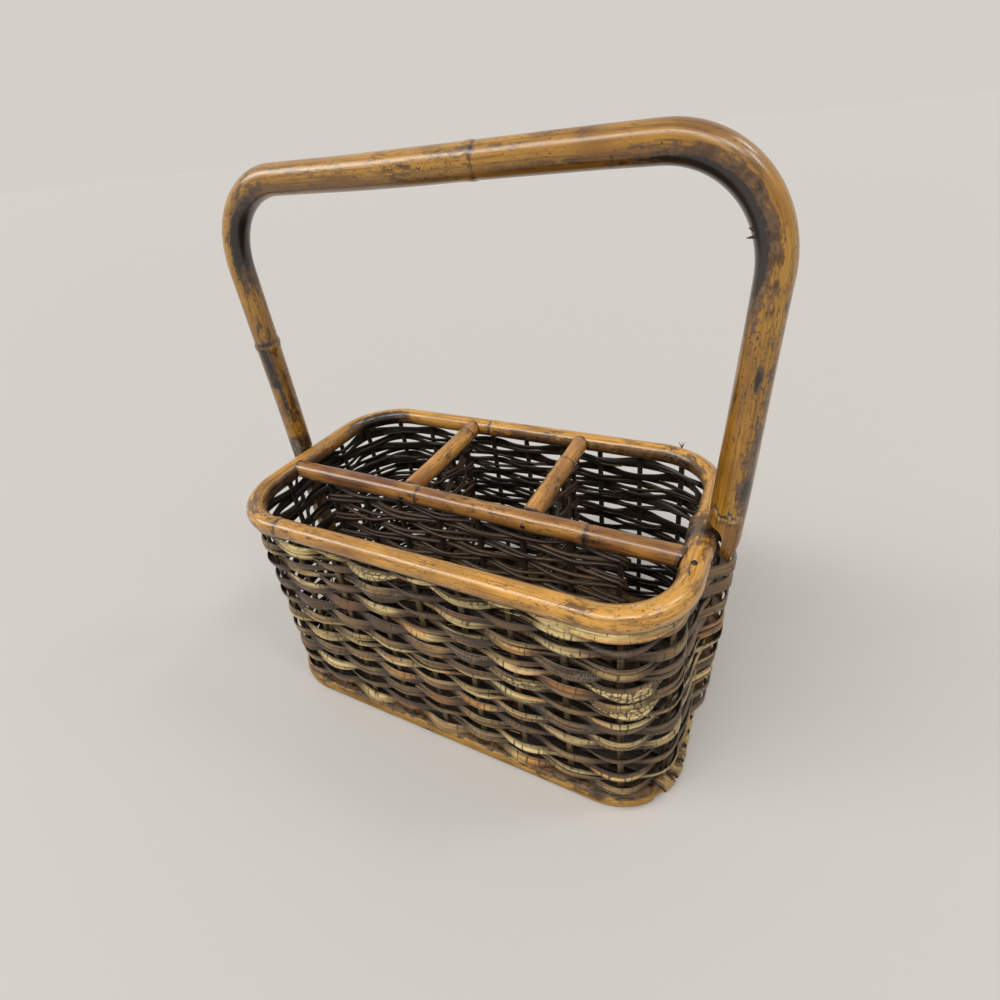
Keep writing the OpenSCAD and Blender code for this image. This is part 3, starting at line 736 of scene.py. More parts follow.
# %% [markdown]
# ## Rim
# The rim is a single pole bent round a former. It grows from tip to root along its length, and the root end
# makes the thick, stained knot at the right. It is scorched inside the bends and in patches along its inner
# edge. Its top is painted lighter as a painted highlight and its underside darker as painted shade, its
# lower outer side is browned, partly as dirt and partly as painted shade, and a patch at the front right
# corner is rubbed pale.

# %% Rim
front_node = wall_way(-straight_x + 3 * MM, -basket_w / 2)
back_node = wall_way(-25 * MM, basket_w / 2)
back_from = straight_y + quarter
back_left_bend = straight_y + quarter * 1.5 + 2 * straight_x
front_left_bend = half_round + straight_y + quarter * 0.55
front_right = rim_len - straight_y - quarter
rim_groove = 2.4 * MM
joint_gap = 0.02 * MM


def rim_radius(d):
    """Radius of the rim, d metres along the wall from the middle of its right end."""
    way = d % rim_len
    if way < rim_joint_y or way > rim_len - straight_y:
        along = (way + straight_y if way < rim_joint_y else way - rim_len + straight_y)
        return mixed(rim_corner_d, rim_root_d, along / (rim_joint_y + straight_y)) / 2
    front_from = half_round + straight_y + quarter
    return mixed(rim_d, rim_corner_d, ramp(front_from, front_from + 2 * straight_x, way)) / 2


def rim_station(u):
    d = rim_joint_y + joint_gap + u * (rim_len - 2 * joint_gap)
    at, out = wall_at(d)
    radius = rim_radius(d) * (1 + 0.018 * uneven(d, 0.03, 21))
    radius *= mixed(0.72, 1.0, ramp(0.0, 5 * MM, rim_joint_y + rim_len - d))
    for ring in (front_node, back_node):
        radius += collar(d, ring, 0.4, 2.0, 0.35, 2.4)
    return d, at + UP * (rim_h + 0.5 * MM * uneven(d, 0.1, 22)), out, radius


def rim_scorch_and_shade(d, way, angle):
    outer = math.cos(angle)
    inner = ramp(0.1, -0.8, outer)
    inner_edge = ramp(0.5, 0.85, math.cos(angle - 1.05 * math.pi))
    scorch = 1.2 * bump(back_left_bend, 30 * MM, way) * inner
    scorch += 0.6 * bump(straight_y + quarter * 0.5, 20 * MM, way) * inner
    scorch += 0.52 * bump(front_left_bend, 26 * MM, way) * ramp(0.0, 0.7, math.cos(angle - 0.8))
    along_back = ramp(straight_y + quarter * 0.3, back_from, way)
    along_back *= ramp(back_from + 1.5 * straight_x, back_from + straight_x, way)
    scorch += 0.6 * along_back * inner_edge
    scorch += 0.75 * bump(front_right + quarter * 0.6, 40 * MM, way) * ramp(0.55, 0.95, -outer)
    scorch += 0.8 * bump(half_round + straight_y, 45 * MM, way) * inner_edge
    scorch += 0.26 * ramp(rim_len - 34 * MM, rim_len - 12 * MM, way)
    # Lower outer side browned: partly dirt, partly painted shade.
    scorch += 0.36 * ramp(0.25, -0.5, math.sin(angle)) * ramp(-0.2, 0.4, outer)
    return scorch + sum(0.8 * bump(ring + rim_groove, 1.0 * MM, d) for ring in (front_node, back_node))


def rim_surface(u, angle, ring):
    d, at, out, radius = ring
    way = d % rim_len
    knot = sum(bump(rim_len - 4 * MM, 12 * MM, place) for place in (d, d - rim_len))
    radius += knot * 0.5 * MM * skin_noise(d * 260, 2, angle)
    co = at + radius * spoke(angle, out, UP)
    scorch = rim_scorch_and_shade(d, way, angle)
    scorch += 0.85 * knot * ramp(-0.8, 0.0, uneven(d + angle * 2 * MM, 0.006, 27))
    # Painted highlight on the top and painted shade on the underside; the next line adds a rubbed patch at
    # the front right corner.
    wear = 0.25 * ramp(0.35, 0.9, math.sin(angle)) - 0.35 * ramp(0.2, -0.5, math.sin(angle))
    wear += 0.12 * bump(front_right + quarter * 0.3, 30 * MM, way) * ramp(0.1, 0.8, math.cos(angle - 0.7))
    return co, unrolled(d, radius, angle), {"scorch": scorch, "wear": wear}


hair_foot = Vector((0.1097, 0.0765, 0.1526))
hair_tips = ((0.1072, 0.0771, 0.1566), (0.1115, 0.0762, 0.1572), (0.1096, 0.0777, 0.1561))
bm = new_piece()
roll(bm, 720, 28, rim_station, rim_surface)
for tip in hair_tips:
    spike(bm, hair_foot, Vector(tip), 0.4 * MM)
finished("rim_pole", bm, rim_look, "top_rim")

# %% [markdown]
# ## Base hoop
# The hoop is bent like the rim, but plainer. It is peeled ragged along its upper edge and thinner under the
# binding. Its underside is shaved flat, so its lowest vertices are lifted to the table.

# %% Base hoop
base_straight_x = base_l / 2 - corner_r
base_straight_y = base_w / 2 - corner_r
base_len = 4 * (base_straight_x + base_straight_y + quarter)
binding_t = 1.3 * MM
bound_from = -base_straight_y - quarter / 2
bound_to = base_straight_y
bound_d = hoop_d - 2 * (binding_t + fit_gap)


def hoop_station(u):
    d = u * base_len
    at, out = base_at(d)
    way = d if d < base_len / 2 else d - base_len
    radius = mixed(hoop_d, bound_d, between(bound_from, bound_to, 3 * MM, way)) / 2
    return d, at + UP * hoop_z, out, radius


def hoop_noise(at, fine, height):
    return noise.noise(Vector((at.x * fine, at.y * fine, height)))


def hoop_surface(u, angle, ring):
    d, at, out, radius = ring
    height = math.sin(angle)
    ragged = hoop_noise(at, 160, 1.7)
    peeled = ramp(0.62 + 0.3 * ragged, 0.75 + 0.3 * ragged, height)
    radius = radius * (1 + 0.02 * hoop_noise(at, 40, 2 * height)) - 0.5 * MM * peeled
    co = at + radius * spoke(angle, out, UP)
    co.z = max(co.z, 0.0)
    dirt = 0.5 * ramp(0.1, 0.5, hoop_noise(at, 60, 4 + height))
    marks = {"scorch": max(0.75 * peeled, dirt), "wear": 0.4 * peeled * ramp(0.0, 0.4, ragged)}
    return co, unrolled(d, radius, angle), marks


bm = new_piece()
roll(bm, 620, 24, hoop_station, hoop_surface)
finished("base_hoop_pole", bm, hoop_look, "base_hoop")

# %% [markdown]
# ## Bars
# The long bar and the two cross bars are straight poles cut to length between the rims. A node swells each
# of them where a leaf once grew. Their ends are hollowed to sit against the round rim, which leaves a thin
# dark gap. One function makes all three, and a seed makes each of them uneven in its own way.

# %% Bars
knot_step = 2.2 * MM
cross_knot = {"left": 12 * MM, "right": 30 * MM}
cross_seed = {"left": 37, "right": 41}


def bar_piece(name, start, end, diameter, knots, material, cad_node, seed):
    length = (end - start).length
    along = (end - start) / length
    across = Vector((-along.y, along.x, 0))

    def station(u):
        s = u * length
        radius = diameter / 2 * (1 + 0.03 * uneven(s, 0.04, seed))
        radius += sum(collar(s, knot, 0.4, 2.0, 0.4, 2.2) for knot in knots)
        middle = start + along * s + UP * (0.5 * MM * uneven(s, 0.06, seed + 1))
        return s, middle + across * 0.5 * MM * uneven(s, 0.06, seed + 2), radius

    def surface(u, angle, ring):
        s, at, radius = ring
        radius *= 1 + 0.02 * skin_noise(s * 60, 2, angle, seed)
        # The end hollow follows the round pole that the bar butts against
        hollow = 0.6 * diameter * (1 - math.sqrt(max(0.0, 1 - (0.8 * math.sin(angle)) ** 2)))
        shift = along * hollow * (ramp(6 * MM, 0, length - s) - ramp(6 * MM, 0, s))
        co = at + shift + radius * spoke(angle, across, UP)
        scorch = sum(0.75 * bump(knot + knot_step, 0.8 * MM, s) for knot in knots)
        scorch += sum(0.25 * bump(knot, 9 * MM, s) for knot in knots)
        scorch += 0.42 * ramp(0.15, 0.5, skin_noise(s * 35, 1, angle, seed))
        # Painted shade: the last few millimetres of each end are darkened where the bar meets the rim.
        scorch += 0.9 * ramp(2.5 * MM, 0.5 * MM, min(s, length - s))
        return co, unrolled(s + seed, radius, angle), {"scorch": scorch}

    bm = new_piece()
    roll(bm, 200, 24, station, surface)
    finished(name, bm, material, cad_node)


def on_bar(x):
    return Vector((x, bar_y + x * math.tan(bar_skew), rim_h))


bar_from = on_bar(-basket_l / 2 + rim_d / 2 + fit_gap)
bar_to = on_bar(basket_l / 2 - rim_root_d / 2 + 0.8 * MM)
bar_knots = [abs(bar_from.x) - 32 * MM, abs(bar_from.x) + 77 * MM]
bar_piece("long_bar", bar_from, bar_to, 1.05 * bar_d, bar_knots, bar_look,
          "long_divider_bar", 31)
for side, x in cross_x.items():
    start = on_bar(x) + BACK * (bar_d / 2 + fit_gap)
    end = Vector((x, basket_w / 2 - rim_d / 2 - fit_gap, rim_h))
    name = "cross_bar_" + side
    knots = [(end - start).length - cross_knot[side]]
    bar_piece(name, start, end, 1.1 * cross_d, knots, cross_look, name, cross_seed[side])

# %% [markdown]
# ## Stakes
# The stakes are thin squared rods that stand in the hoop and run up into the rim. Each leans and varies a
# little, so each is rolled with its own seed, where an array would repeat one rod. The two middle places
# at the ends are taken by the tongues of the handle.

# %% Stakes
def rod(bm, foot, top, thick, broad, seed, tone, out, steps=10):
    """A flat rod. Its thickness lies along out, and its breadth across that. The side behind gets painted
    shade.
    """
    run = top - foot
    length = run.length
    across = out.normalized()
    other = (run / length).cross(across)

    def squared(value):
        return math.copysign(abs(value) ** 0.6, value)

    def station(u):
        lean = 0.5 * MM * uneven(u, 0.4, seed) * math.sin(math.pi * u)
        return foot + run * u + other * lean, 1 + 0.08 * uneven(u, 0.2, seed + 0.5)

    def surface(u, angle, ring):
        at, size = ring
        x = size * thick / 2 * squared(math.cos(angle))
        y = size * broad / 2 * squared(math.sin(angle))
        # Painted shade: dark on the side behind, a little darker elsewhere.
        marks = {"tone": tone, "scorch": 0.9 if x < 0 else 0.3}
        return at + x * across + y * other, Vector((u * length + seed, x, y)), marks

    roll(bm, steps, 12, station, surface)


stake_foot = hoop_z + hoop_d / 2 - stake_sink
stake_top = rim_h - rim_d / 2 + stake_sink
stake_groups = {side: new_piece() for side in ("front", "back", "left", "right")}
for i in range(stake_count):
    if i % end_to_end == 0:
        continue
    at, out = wall_at(i * stake_pitch)
    end = "right" if at.x > 0 else "left"
    side = end if abs(at.y) <= straight_y + 0.01 * MM else ("back" if at.y > 0 else "front")
    foot = flared(at, stake_foot)
    rod(stake_groups[side], foot, flared(at, stake_top), stake_t, stake_w, i + 0.3, 0.6, out)
for side, bm in stake_groups.items():
    finished(side + "_stake_rods", bm, stake_look, side + "_stakes")

# %% [markdown]
# ## The wave of a row
# The wall is a plain weave: each row passes outside one stake and inside the next, and the row above does
# the opposite. A weave painted on a box would look flat from the side, so every strip is a mesh. `crossing`
# says how far out a row has to be at each upright to clear it, and `row_out` joins these places with a
# smooth wave.

# %% Wave of a row
reach = weave_gap + weaver_t / 2


def crossing(i, row, z):
    """How far outside the wall's line a row passes an upright. The tongues don't lean with the wall."""
    i = i % stake_count
    outside = (i + row) % 2 == 0
    if i % end_to_end:
        return (1 if outside else -1) * (stake_t / 2 + reach)
    side = 1 if i == 0 else -1
    lean = (base_l - basket_l) * leaning(z) if side > 0 else 0.0
    if outside:
        return tongue_front(side, z) - basket_l / 2 + reach - lean
    return (rim_root_d if side > 0 else rim_d) / 2 + tongue_gap - reach - lean


def row_out(u, row, z):
    i = math.floor(u)
    edge = [tongue_w / 2 / stake_pitch if k % end_to_end == 0 else 0.06 for k in (i, i + 1)]
    t = unit((u - i - edge[0]) / (1 - edge[0] - edge[1]))
    t = 0.5 * (1 - math.cos(math.pi * t)) / 2 + 0.5 * t
    return mixed(crossing(i, row, z), crossing(i + 1, row, z), t)


def row_height(row):
    return rows_from + (row - 0.5) * row_pitch


print("rows from", round(row_height(1), 4), "to", round(row_height(row_count), 4), "m")

# %% [markdown]
# ## One strip
# A weaver is a strip of split cane. It is rolled from a grid with a lens-shaped section, follows the wave
# of its row, swells on the outward crests, thins to its two tails and twists and drifts a little. Its
# hollows, edges and inner faces are painted dark as painted shade.

# %% One strip
def strip(bm, row, start, end, tone, width, shift, seed, crackled=0.0, hug=None, lift=0.0):
    """One strip of a row, from one place to another counted in stakes. A hugging strip stays outside."""
    z = row_height(row) + shift
    spans = end - start
    tilt = 0.3 * math.sin(seed * 5.1)
    tail_way = 1 if seed % 1 > 0.5 else -1

    def station(u):
        place = start + u * spans
        d = place * stake_pitch
        at, out = wall_at(d)
        tail = ramp(0.8, 0.0, min(place - start, end - place))
        away = lift + row_out(place, row, z) if hug is None else hug
        crest = ramp(-0.5, 0.9, away / (stake_t / 2 + reach))
        away += crest * (0.5 + 0.8 * uneven(place, 1.1, seed + 11)) * MM - 1.1 * MM * tail
        rise = 2.3 * MM * uneven(place, 1.5, seed) - 0.6 * MM * tail * tail_way
        broad = width / 2 * mixed(1.1, 0.86, u) * (1 + 0.18 * uneven(place, 0.7, seed + 3))
        broad *= mixed(0.72, 1.16, crest) * mixed(1.0, 0.15, tail)
        lean = tilt + 0.3 * uneven(place, 1.2, seed + 5)
        face = spoke(lean, out, -UP)
        up = spoke(lean, UP, out)
        return d, flared(at + out * away, z + rise), face, up, broad, crest

    def surface(u, angle, ring):
        d, at, face, up, broad, crest = ring
        thick = weaver_t / 2 * (1.4 if math.cos(angle) > 0 else 0.8)
        over = math.copysign(abs(math.sin(angle)) ** 0.8, math.sin(angle))
        co = at + face * thick * math.cos(angle) + up * broad * over
        straight = Vector((d + 3.1 * seed, broad * over, 0.5 * thick * math.cos(angle)))
        # Painted shade: off the crest, on the inner faces and along the edges the strip is darkened.
        front = ramp(-0.2, 0.6, math.cos(angle))
        edge = ramp(0.62, 0.98, abs(over))
        lit = mixed(0.4, 1.0, crest) * mixed(0.04, 1.0, front) * mixed(1.0, 0.45, edge)
        varied = tone + 0.3 * uneven(d, 0.03, seed + 7)
        return co, straight, {"tone": varied, "wear": crest * front, "scorch": 1 - lit, "cut": crackled}

    roll(bm, max(4, round(spans * 10)), 12, station, surface)


def loose_fibre(bm, row, chance):
    """A hair of cane that has sprung from the face of a row."""
    place = chance.uniform(14, 28)
    at, out = wall_at(place * stake_pitch)
    along = Vector((-out.y, out.x, 0)) * chance.choice((-1, 1))
    length = chance.uniform(5, 11) * MM
    rise = chance.uniform(-0.5, 0.5)
    foot = flared(at + out * 1.5 * MM, row_height(row))

    def station(u):
        return foot + length * (along * u + out * 0.3 * u * u + UP * (rise * u * u))

    def surface(u, angle, middle):
        radius = 0.22 * MM * (1 - 0.7 * u)
        co = middle + radius * spoke(angle, out, UP)
        return co, Vector((u * length, radius, place)), {"tone": 0.75, "wear": 0.5}

    roll(bm, 8, 4, station, surface)


print("a strip is", round(weaver_t * 1000, 2), "mm thick")

# %% [markdown]
# ## Woven wall
# A weaver is never long enough to go all the way round, so each row is made of several strips of different
# tone and width whose ends overlap inside the basket. Many are doubled: two narrow strips side by side.
# Straw is commoner at the front right than at the left. A few marked strips, straw or bark, are laid over
# the rest, and thin ones fill the gap under the rim. The random numbers have fixed seeds, so that the
# basket comes out the same each time.

# %% Woven wall
DARKS = (0.02, 0.08, 0.14, 0.2, 0.26, 0.32, 0.38, 0.44, 0.52)
STRAWS = (0.7, 0.78, 0.86, 0.94)
# Share of straw, from one stake to another. Elsewhere it is the usual share
STRAW_SHARE = ((17, 22, 0.16), (22, 27.5, 0.3), (27.5, 29, 0.45))
USUAL_STRAW = 0.2
BARK_ROWS = 15
DOUBLED = 0.6
LANE = 1.8 * MM
OVERLAP = 0.55
CRACKLED = 0.35
# Short strips that stand out: row, from and to in stakes, tone, crackled. Bark is dark, the rest is straw
MARKED_STRIPS = ((14, 23.4, 25.2, -0.1, 0.0), (14, 21.3, 23.3, -0.1, 0.0), (16, 19.3, 21.2, -0.1, 0.0),
                 (13, 24.4, 26.2, 0.84, 1.0), (11, 24.5, 26.1, 0.8, 1.0), (11, 22.4, 24.3, 0.72, 1.0),
                 (18, 21.2, 23.2, 0.86, 0.0), (18, 19.1, 20.9, 0.8, 1.0))
# Thin strips under the rim: from and to in stakes, tone
RIM_STRIPS = ((14.6, 17.4, 0.4), (16.6, 19.4, 0.5), (18.6, 21.4, 0.34), (20.6, 23.4, 0.6))


def pick_tone(chance, row, middle):
    place = middle % stake_count
    share = max([s for low, high, s in STRAW_SHARE if low <= place < high], default=USUAL_STRAW)
    tone = chance.choice(STRAWS if chance.random() < share else DARKS)
    return tone if row <= BARK_ROWS else max(tone, DARKS[1])


def weave_row(bm, row, chance):
    first = (row + 1) % 2 + 2 * chance.randrange(4)
    place = first
    while place < first + stake_count:
        spans = min(2 * chance.randrange(1, 4), first + stake_count - place)
        middle = place + spans / 2
        seed = row + chance.random()
        from_place, to_place = place - OVERLAP, place + spans + OVERLAP
        if chance.random() < DOUBLED:
            for half in (-1, 1):
                tone = pick_tone(chance, row, middle)
                width = chance.uniform(3.8, 4.9) * MM
                strip(bm, row, from_place, to_place, tone, width, half * LANE, seed + half * 0.31)
        else:
            width = chance.uniform(6.6, 8.3) * MM
            tone = pick_tone(chance, row, middle)
            crackled = 1.0 if tone > 0.6 and chance.random() < CRACKLED else 0.0
            shift = chance.uniform(-1.0, 1.0) * MM
            strip(bm, row, from_place, to_place, tone, width, shift, seed, crackled)
        place += spans


for row in range(1, row_count + 1):
    bm = new_piece()
    chance = random.Random(700 + row)
    weave_row(bm, row, chance)
    for marked_row, start, end, tone, crackled in MARKED_STRIPS:
        if marked_row == row:
            strip(bm, row, start, end, tone, 7.2 * MM, 0.0, start, crackled, lift=1.2 * MM)
    for _ in range(2):
        loose_fibre(bm, row, chance)
    if row == row_count:
        for start, end, tone in RIM_STRIPS:
            strip(bm, row + 1, start, end, tone, 3.4 * MM, -2.4 * MM, start)
        strip(bm, row, 23.6, 26.2, 0.58, 5.2 * MM, 4.6 * MM, 3.2, hug=4.2 * MM)
    name = "weaver_row_%02d" % row
    finished(name + "_strips", bm, weaver_look, name)

# %% [markdown]
# ## Dividers
# Under each bar hangs a panel of dark twigs. Two thin twigs lie in each row and pass in front of one stake
# and behind the next. At the end stakes a twig turns round the stake into the next row, which gives the
# loops seen in the front compartment. A row is a cosine wave, and a loop is half a turn between two rows.

# %% Dividers
panel_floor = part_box("base_weavers")[1][2] + fit_gap
divider_stake_t = 2.4 * MM
divider_stake_w = 3.6 * MM
twig_rows = 17
twig_lane = 1.6 * MM
twig_wave = 2.1 * MM
# Dark bark tones, kept darker still as painted shade inside the basket.
TWIG_TONES = (0.0, 0.06, 0.12, 0.18, 0.3)


def divider(label, origin, along, length, count, pole_d, seed):
    across = Vector((-along.y, along.x, 0))
    top = rim_h - pole_d / 2
    stakes = new_piece()
    for k in range(count):
        foot = origin + along * (k * length / (count - 1)) + UP * panel_floor
        head = foot + UP * (top + stake_sink - panel_floor)
        rod(stakes, foot, head, divider_stake_t, divider_stake_w, seed + k, 0.25, across)
    finished(label + "_stake_rods", stakes, twig_look, label + "_stakes")
    twigs = new_piece()
    pitch = (top - panel_floor) / twig_rows
    spans = count - 1
    chance = random.Random(seed)

    def twig(path, steps, thick, tone, mark):
        def surface(u, angle, at):
            radius = thick / 2 * (1 + 0.12 * uneven(u, 0.1, mark + 2))
            # Painted shade: every twig is darkened, and most on its underside.
            shade = 0.4 + 0.45 * ramp(0.3, -0.8, math.sin(angle))
            marks = {"tone": tone, "scorch": shade}
            return at + radius * spoke(angle, across, UP), unrolled(u * length + mark, radius, angle), marks

        roll(twigs, steps, 8, path, surface)

    for row in range(twig_rows):
        flip = 1 if row % 2 == 0 else -1
        far = row % 2
        for lane in (-1, 1):
            z0 = panel_floor + (row + 0.5) * pitch + lane * twig_lane
            thick = chance.uniform(1.9, 3.1) * MM
            tone = chance.choice(TWIG_TONES)
            mark = seed + row * 2.74 + lane

            def row_path(u):
                wave = flip * twig_wave * math.cos(math.pi * u * spans)
                rise = 3.4 * MM * uneven(u * spans, 0.9, mark) * ramp(0.0, 0.15, u * (1 - u))
                return origin + along * (u * length) + across * wave + UP * (z0 + rise)

            twig(row_path, spans * 8, thick, tone, mark)
            if row == twig_rows - 1:
                continue
            bow = chance.uniform(3.5, 6.0) * MM

            def loop_path(u):
                turned = math.pi * u
                side = flip * (1 if not far or spans % 2 == 0 else -1)
                out = (length if far else 0.0) + (bow if far else -bow) * math.sin(turned)
                wave = side * twig_wave * math.cos(turned)
                return origin + along * out + across * wave + UP * (z0 + pitch * u)

            twig(loop_path, 12, thick, tone, mark)
    finished(label + "_twigs", twigs, twig_look, label + "_weavers")


panel_end = 17 * MM
panel_seed = {"left": 61, "right": 71}
skewed = Vector((math.cos(bar_skew), math.sin(bar_skew), 0))
long_from = BACK * bar_y + skewed * (-basket_l / 2 + 28 * MM)
divider("long_divider", long_from, skewed, basket_l - 65 * MM, 8, bar_d, 51)
for side, x in cross_x.items():
    start = Vector((x, on_bar(x).y + panel_end, 0))
    length = basket_w / 2 - panel_end - start.y
    divider("cross_divider_" + side, start, BACK, length, 4, cross_d, panel_seed[side])

# %% [markdown]
# ## Bottom mat
# The bottom can't be seen, so it is made as such baskets usually are: sticks across from hoop to hoop, and
# dark strips woven over and under them. It is plain and coarse, because little of it shows.

# %% Bottom mat
mat_sticks = 7
mat_spacing = 2 * base_straight_x / (mat_sticks - 1)
stick_w = 5 * MM
stick_t = 1.8 * MM
stick_reach = base_w / 2 - hoop_d / 2 + 2 * MM
sticks = new_piece()
for k in range(mat_sticks):
    x = base_x - base_straight_x + k * mat_spacing
    ends = [Vector((x, y, hoop_z)) for y in (-stick_reach, stick_reach)]
    rod(sticks, *ends, stick_t, stick_w, 80 + k, 0.4, UP, 16)
finished("base_stick_rods", sticks, twig_look, "base_sticks")

mat_strip_r = 0.9 * MM
mat_strip_w = 10 * MM
mat_wave = stick_t / 2 + weave_gap + mat_strip_r
mat_rows = 19
mat_pitch = (base_w - hoop_d - 2 * fit_gap - 7 * MM) / (mat_rows - 1)
mat = new_piece()
for row in range(mat_rows):
    y = (row - (mat_rows - 1) / 2) * mat_pitch
    over = max(0.0, abs(y) + 1.0 * MM - base_straight_y)
    corner = math.sqrt(max(0.0, (corner_r - hoop_d / 2 - fit_gap) ** 2 - over ** 2))
    reach_x = base_straight_x + corner
    tone = random.Random(900 + row).choice(DARKS)

    def mat_station(u):
        x = mixed(-reach_x, reach_x, u)
        phase = min(max((x + base_straight_x) / mat_spacing, 0.0), mat_sticks - 1.0) + row
        drift = 0.3 * MM * uneven(x, 0.03, row)
        return x, Vector((base_x + x, y + drift, hoop_z + mat_wave * math.cos(math.pi * phase)))

    def mat_surface(u, angle, ring):
        x, at = ring
        co = at + Vector((0, mat_strip_w / 2 * math.sin(angle), mat_strip_r * math.cos(angle)))
        # Painted shade: the mat is darkened almost to black, as the shade inside the basket.
        return co, Vector((x + row, 3 * MM * math.sin(angle), 0.0)), {"tone": tone, "scorch": 0.88}

    roll(mat, 60, 8, mat_station, mat_surface)
finished("base_mat_strips", mat, weaver_look, "base_weavers")

# %% [markdown]
# ## Binding
# Where the ends of the base hoop meet, at the right, a flat strip of cane is wound round it in slanting
# turns. The strip's path is a helix on the hoop, so the grid is rolled round that.

# %% Binding
binding_w = 9.8 * MM
wraps = round((bound_to - bound_from - binding_w) / (10.6 * MM))
binding_pitch = (bound_to - bound_from - binding_w) / wraps


def binding_station(u):
    turn = u * wraps
    at, out = base_at(bound_from + binding_w / 2 + turn * binding_pitch)
    radial = spoke(-2 * math.pi * turn - math.pi / 2, out, UP)
    along = Vector((-out.y, out.x, 0))
    middle = at + UP * hoop_z + radial * (bound_d / 2 + fit_gap + binding_t / 2)
    width = binding_w * (1 + 0.1 * uneven(turn, 0.6, 91))
    return turn, middle, radial, along, width


def binding_surface(u, angle, ring):
    turn, middle, radial, along, width = ring
    shape = math.sin(angle)
    co = middle + radial * binding_t / 2 * math.cos(angle) + along * width / 2 * shape
    co.z = max(co.z, 0.0)
    straight = Vector((turn * 0.03, width / 2 * shape, 0.3 * MM * math.cos(angle)))
    dark = 0.85 * ramp(0.6, 0.95, abs(shape)) + 0.3 * ramp(0.3, 0.9, radial.z)
    return co, straight, {"scorch": dark}


bm = new_piece()
roll(bm, wraps * 32, 16, binding_station, binding_surface)
finished("hoop_binding", bm, binding_look, "base_hoop_binding")

# %% [markdown]
# ## Nails
# Small steel nails hold the bars, the rim and the tongues. Each is a cone for the head and one for the
# shank, made with the same bmesh operator and joined into one piece per CAD node.

# %% Nails
nail_d = 1.7 * MM
head_d = 3.4 * MM
head_h = 0.9 * MM
bar_nail_l = 19 * MM


def nail(bm, at, way, length, proud=0.45 * MM):
    head = {"radius1": head_d / 2, "radius2": head_d / 2 - 0.6 * MM, "depth": head_h}
    shank = {"radius1": nail_d / 2, "radius2": nail_d / 2, "depth": length}
    bmesh.ops.create_cone(bm, cap_ends=True, segments=18, matrix=stood(at + way * proud, way), **head)
    middle = at - way * length / 2
    bmesh.ops.create_cone(bm, cap_ends=True, segments=10, matrix=stood(middle, way), **shank)


def nails_done(name, bm, cad_node):
    finished(name, bm, steel_look, cad_node, 30)


bars = new_piece()
for x in cross_x.values():
    nail(bars, on_bar(x) - BACK * (bar_d / 2), -BACK, bar_nail_l)
    nail(bars, Vector((x, basket_w / 2 + rim_d / 2, rim_h)), BACK, bar_nail_l)
right_bar = on_bar(basket_l / 2)
nail(bars, on_bar(-basket_l / 2) - RIGHT * (rim_d / 2), -RIGHT, bar_nail_l)
nail(bars, right_bar + RIGHT * rim_radius(rim_len + right_bar.y), RIGHT, 22 * MM)
nails_done("bar_nail_set", bars, "bar_nails")

rim_nail = new_piece()
nail_y = -straight_y + 5 * MM
nail_z = rim_h + rim_radius(rim_len + nail_y) - 0.3 * MM
nail(rim_nail, Vector((basket_l / 2, nail_y, nail_z)), UP, 9 * MM)
nails_done("rim_nail_set", rim_nail, "rim_nail")

legs = new_piece()
for side in (-1, 1):
    face = Vector((side * tongue_front(side, rim_h), 0, rim_h + 3.6 * MM))
    nail(legs, face, RIGHT * side, 14 * MM, -0.5 * MM)
nails_done("handle_nail_set", legs, "handle_nails")

# %% [markdown]
# ## Floor and light
# A pale floor and a soft room let the varnish show its round shape. A curved row of soft lamps in front
# draws the long glint along the poles, and three more light the right side. Light Path tells the world who
# is looking: the camera and the reflections see a pale backdrop, while the light on the object stays lower.

# %% Floor and light
ROOM = (1.0, 0.95, 0.88)
ROOM_LIGHT = 0.38
ROOM_SEEN = 0.66
LAMP_TURNS = (-53, -38, -23, -8, 8)
SIDE_WAYS = ((-0.4, 0.38, -0.83), (-0.64, 0.1, -0.76), (-0.5, -0.36, -0.79))

scene = bpy.context.scene
scene.view_settings.view_transform = "Standard"
floor_mesh = bpy.data.meshes.new("floor")
bm = bmesh.new()
bmesh.ops.create_grid(bm, x_segments=1, y_segments=1, size=40.0)
bm.to_mesh(floor_mesh)
bm.free()
floor_mesh.materials.append(plain_material("Pale floor", (0.555, 0.555, 0.555), 0.6))
floor = bpy.data.objects.new("floor", floor_mesh)
scene.collection.objects.link(floor)

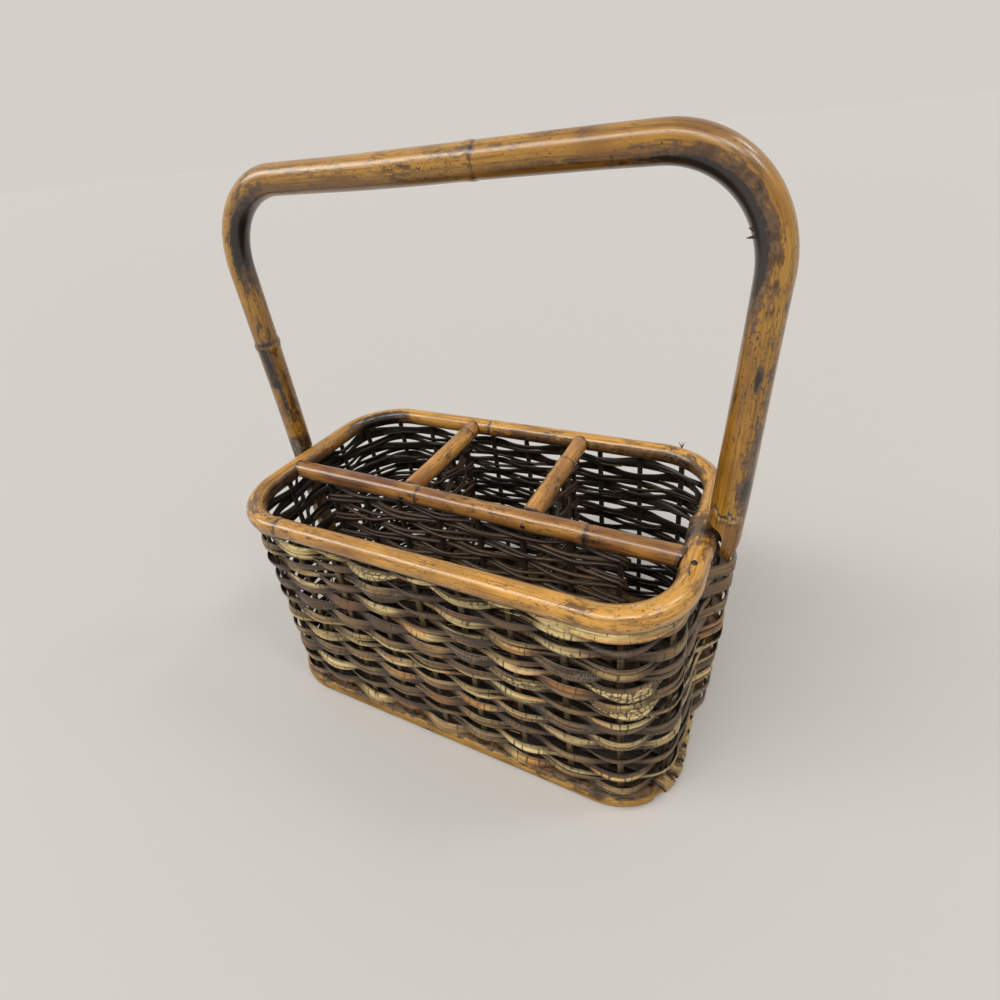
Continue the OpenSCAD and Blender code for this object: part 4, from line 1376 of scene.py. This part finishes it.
world = bpy.data.worlds.new("Soft room")
scene.world = world
world.use_nodes = True
room = world.node_tree
background = next(n for n in room.nodes if n.type == "BACKGROUND")
background.inputs["Color"].default_value = (*ROOM, 1.0)
seen = node(room, "ShaderNodeLightPath").outputs
shown = maths(room, "MAXIMUM", seen["Is Camera Ray"], seen["Is Glossy Ray"])
shown = maths(room, "MAXIMUM", shown, seen["Is Transmission Ray"])
room.links.new(band(room, shown, 0.0, 1.0, ROOM_LIGHT, ROOM_SEEN), background.inputs["Strength"])


def soft_sun(name, way, strength, spread):
    data = bpy.data.lights.new(name, "SUN")
    data.energy = strength
    data.color = ROOM
    data.angle = math.radians(spread)
    lamp = bpy.data.objects.new(name, data)
    lamp.matrix_world = Vector(way).to_track_quat("-Z", "Y").to_matrix().to_4x4()
    scene.collection.objects.link(lamp)


for k, turn in enumerate(LAMP_TURNS):
    side = math.sin(math.radians(turn))
    down = math.cos(math.radians(turn))
    soft_sun("strip_lamp_%d" % k, (-side, 0.588 * down, -0.809 * down), 0.46, 18.0)
for k, way in enumerate(SIDE_WAYS):
    soft_sun("side_lamp_%d" % k, way, 0.36, 12.0)
print("lamps:", len(bpy.data.lights))

# %% [markdown]
# ## Camera
# The camera stands where the photograph was taken from, which was found by fitting the rim, the base and
# the handle. Its three angles are turned into the ways right, up and forward, the columns of its matrix.

# %% Camera
CAMERA_AT = (0.14712, -0.23693, 0.32696)
CAMERA_ANGLES = (-29.077, 34.465, -5.846)

camera_data = bpy.data.cameras.new("camera")
camera_data.lens = 19.023
camera_data.sensor_width = 36.0
camera_data.clip_start = 0.01
camera = bpy.data.objects.new("camera", camera_data)
scene.collection.objects.link(camera)
yaw, pitch, tip = (math.radians(a) for a in CAMERA_ANGLES)
forward = Vector((math.sin(yaw) * math.cos(pitch), math.cos(yaw) * math.cos(pitch), -math.sin(pitch)))
level = Vector((math.cos(yaw), -math.sin(yaw), 0))
upright = level.cross(forward)
ways = Matrix((spoke(tip, level, upright), spoke(tip, upright, -level), -forward))
camera.matrix_world = Matrix.Translation(CAMERA_AT) @ ways.transposed().to_4x4()
scene.camera = camera
print("camera set")
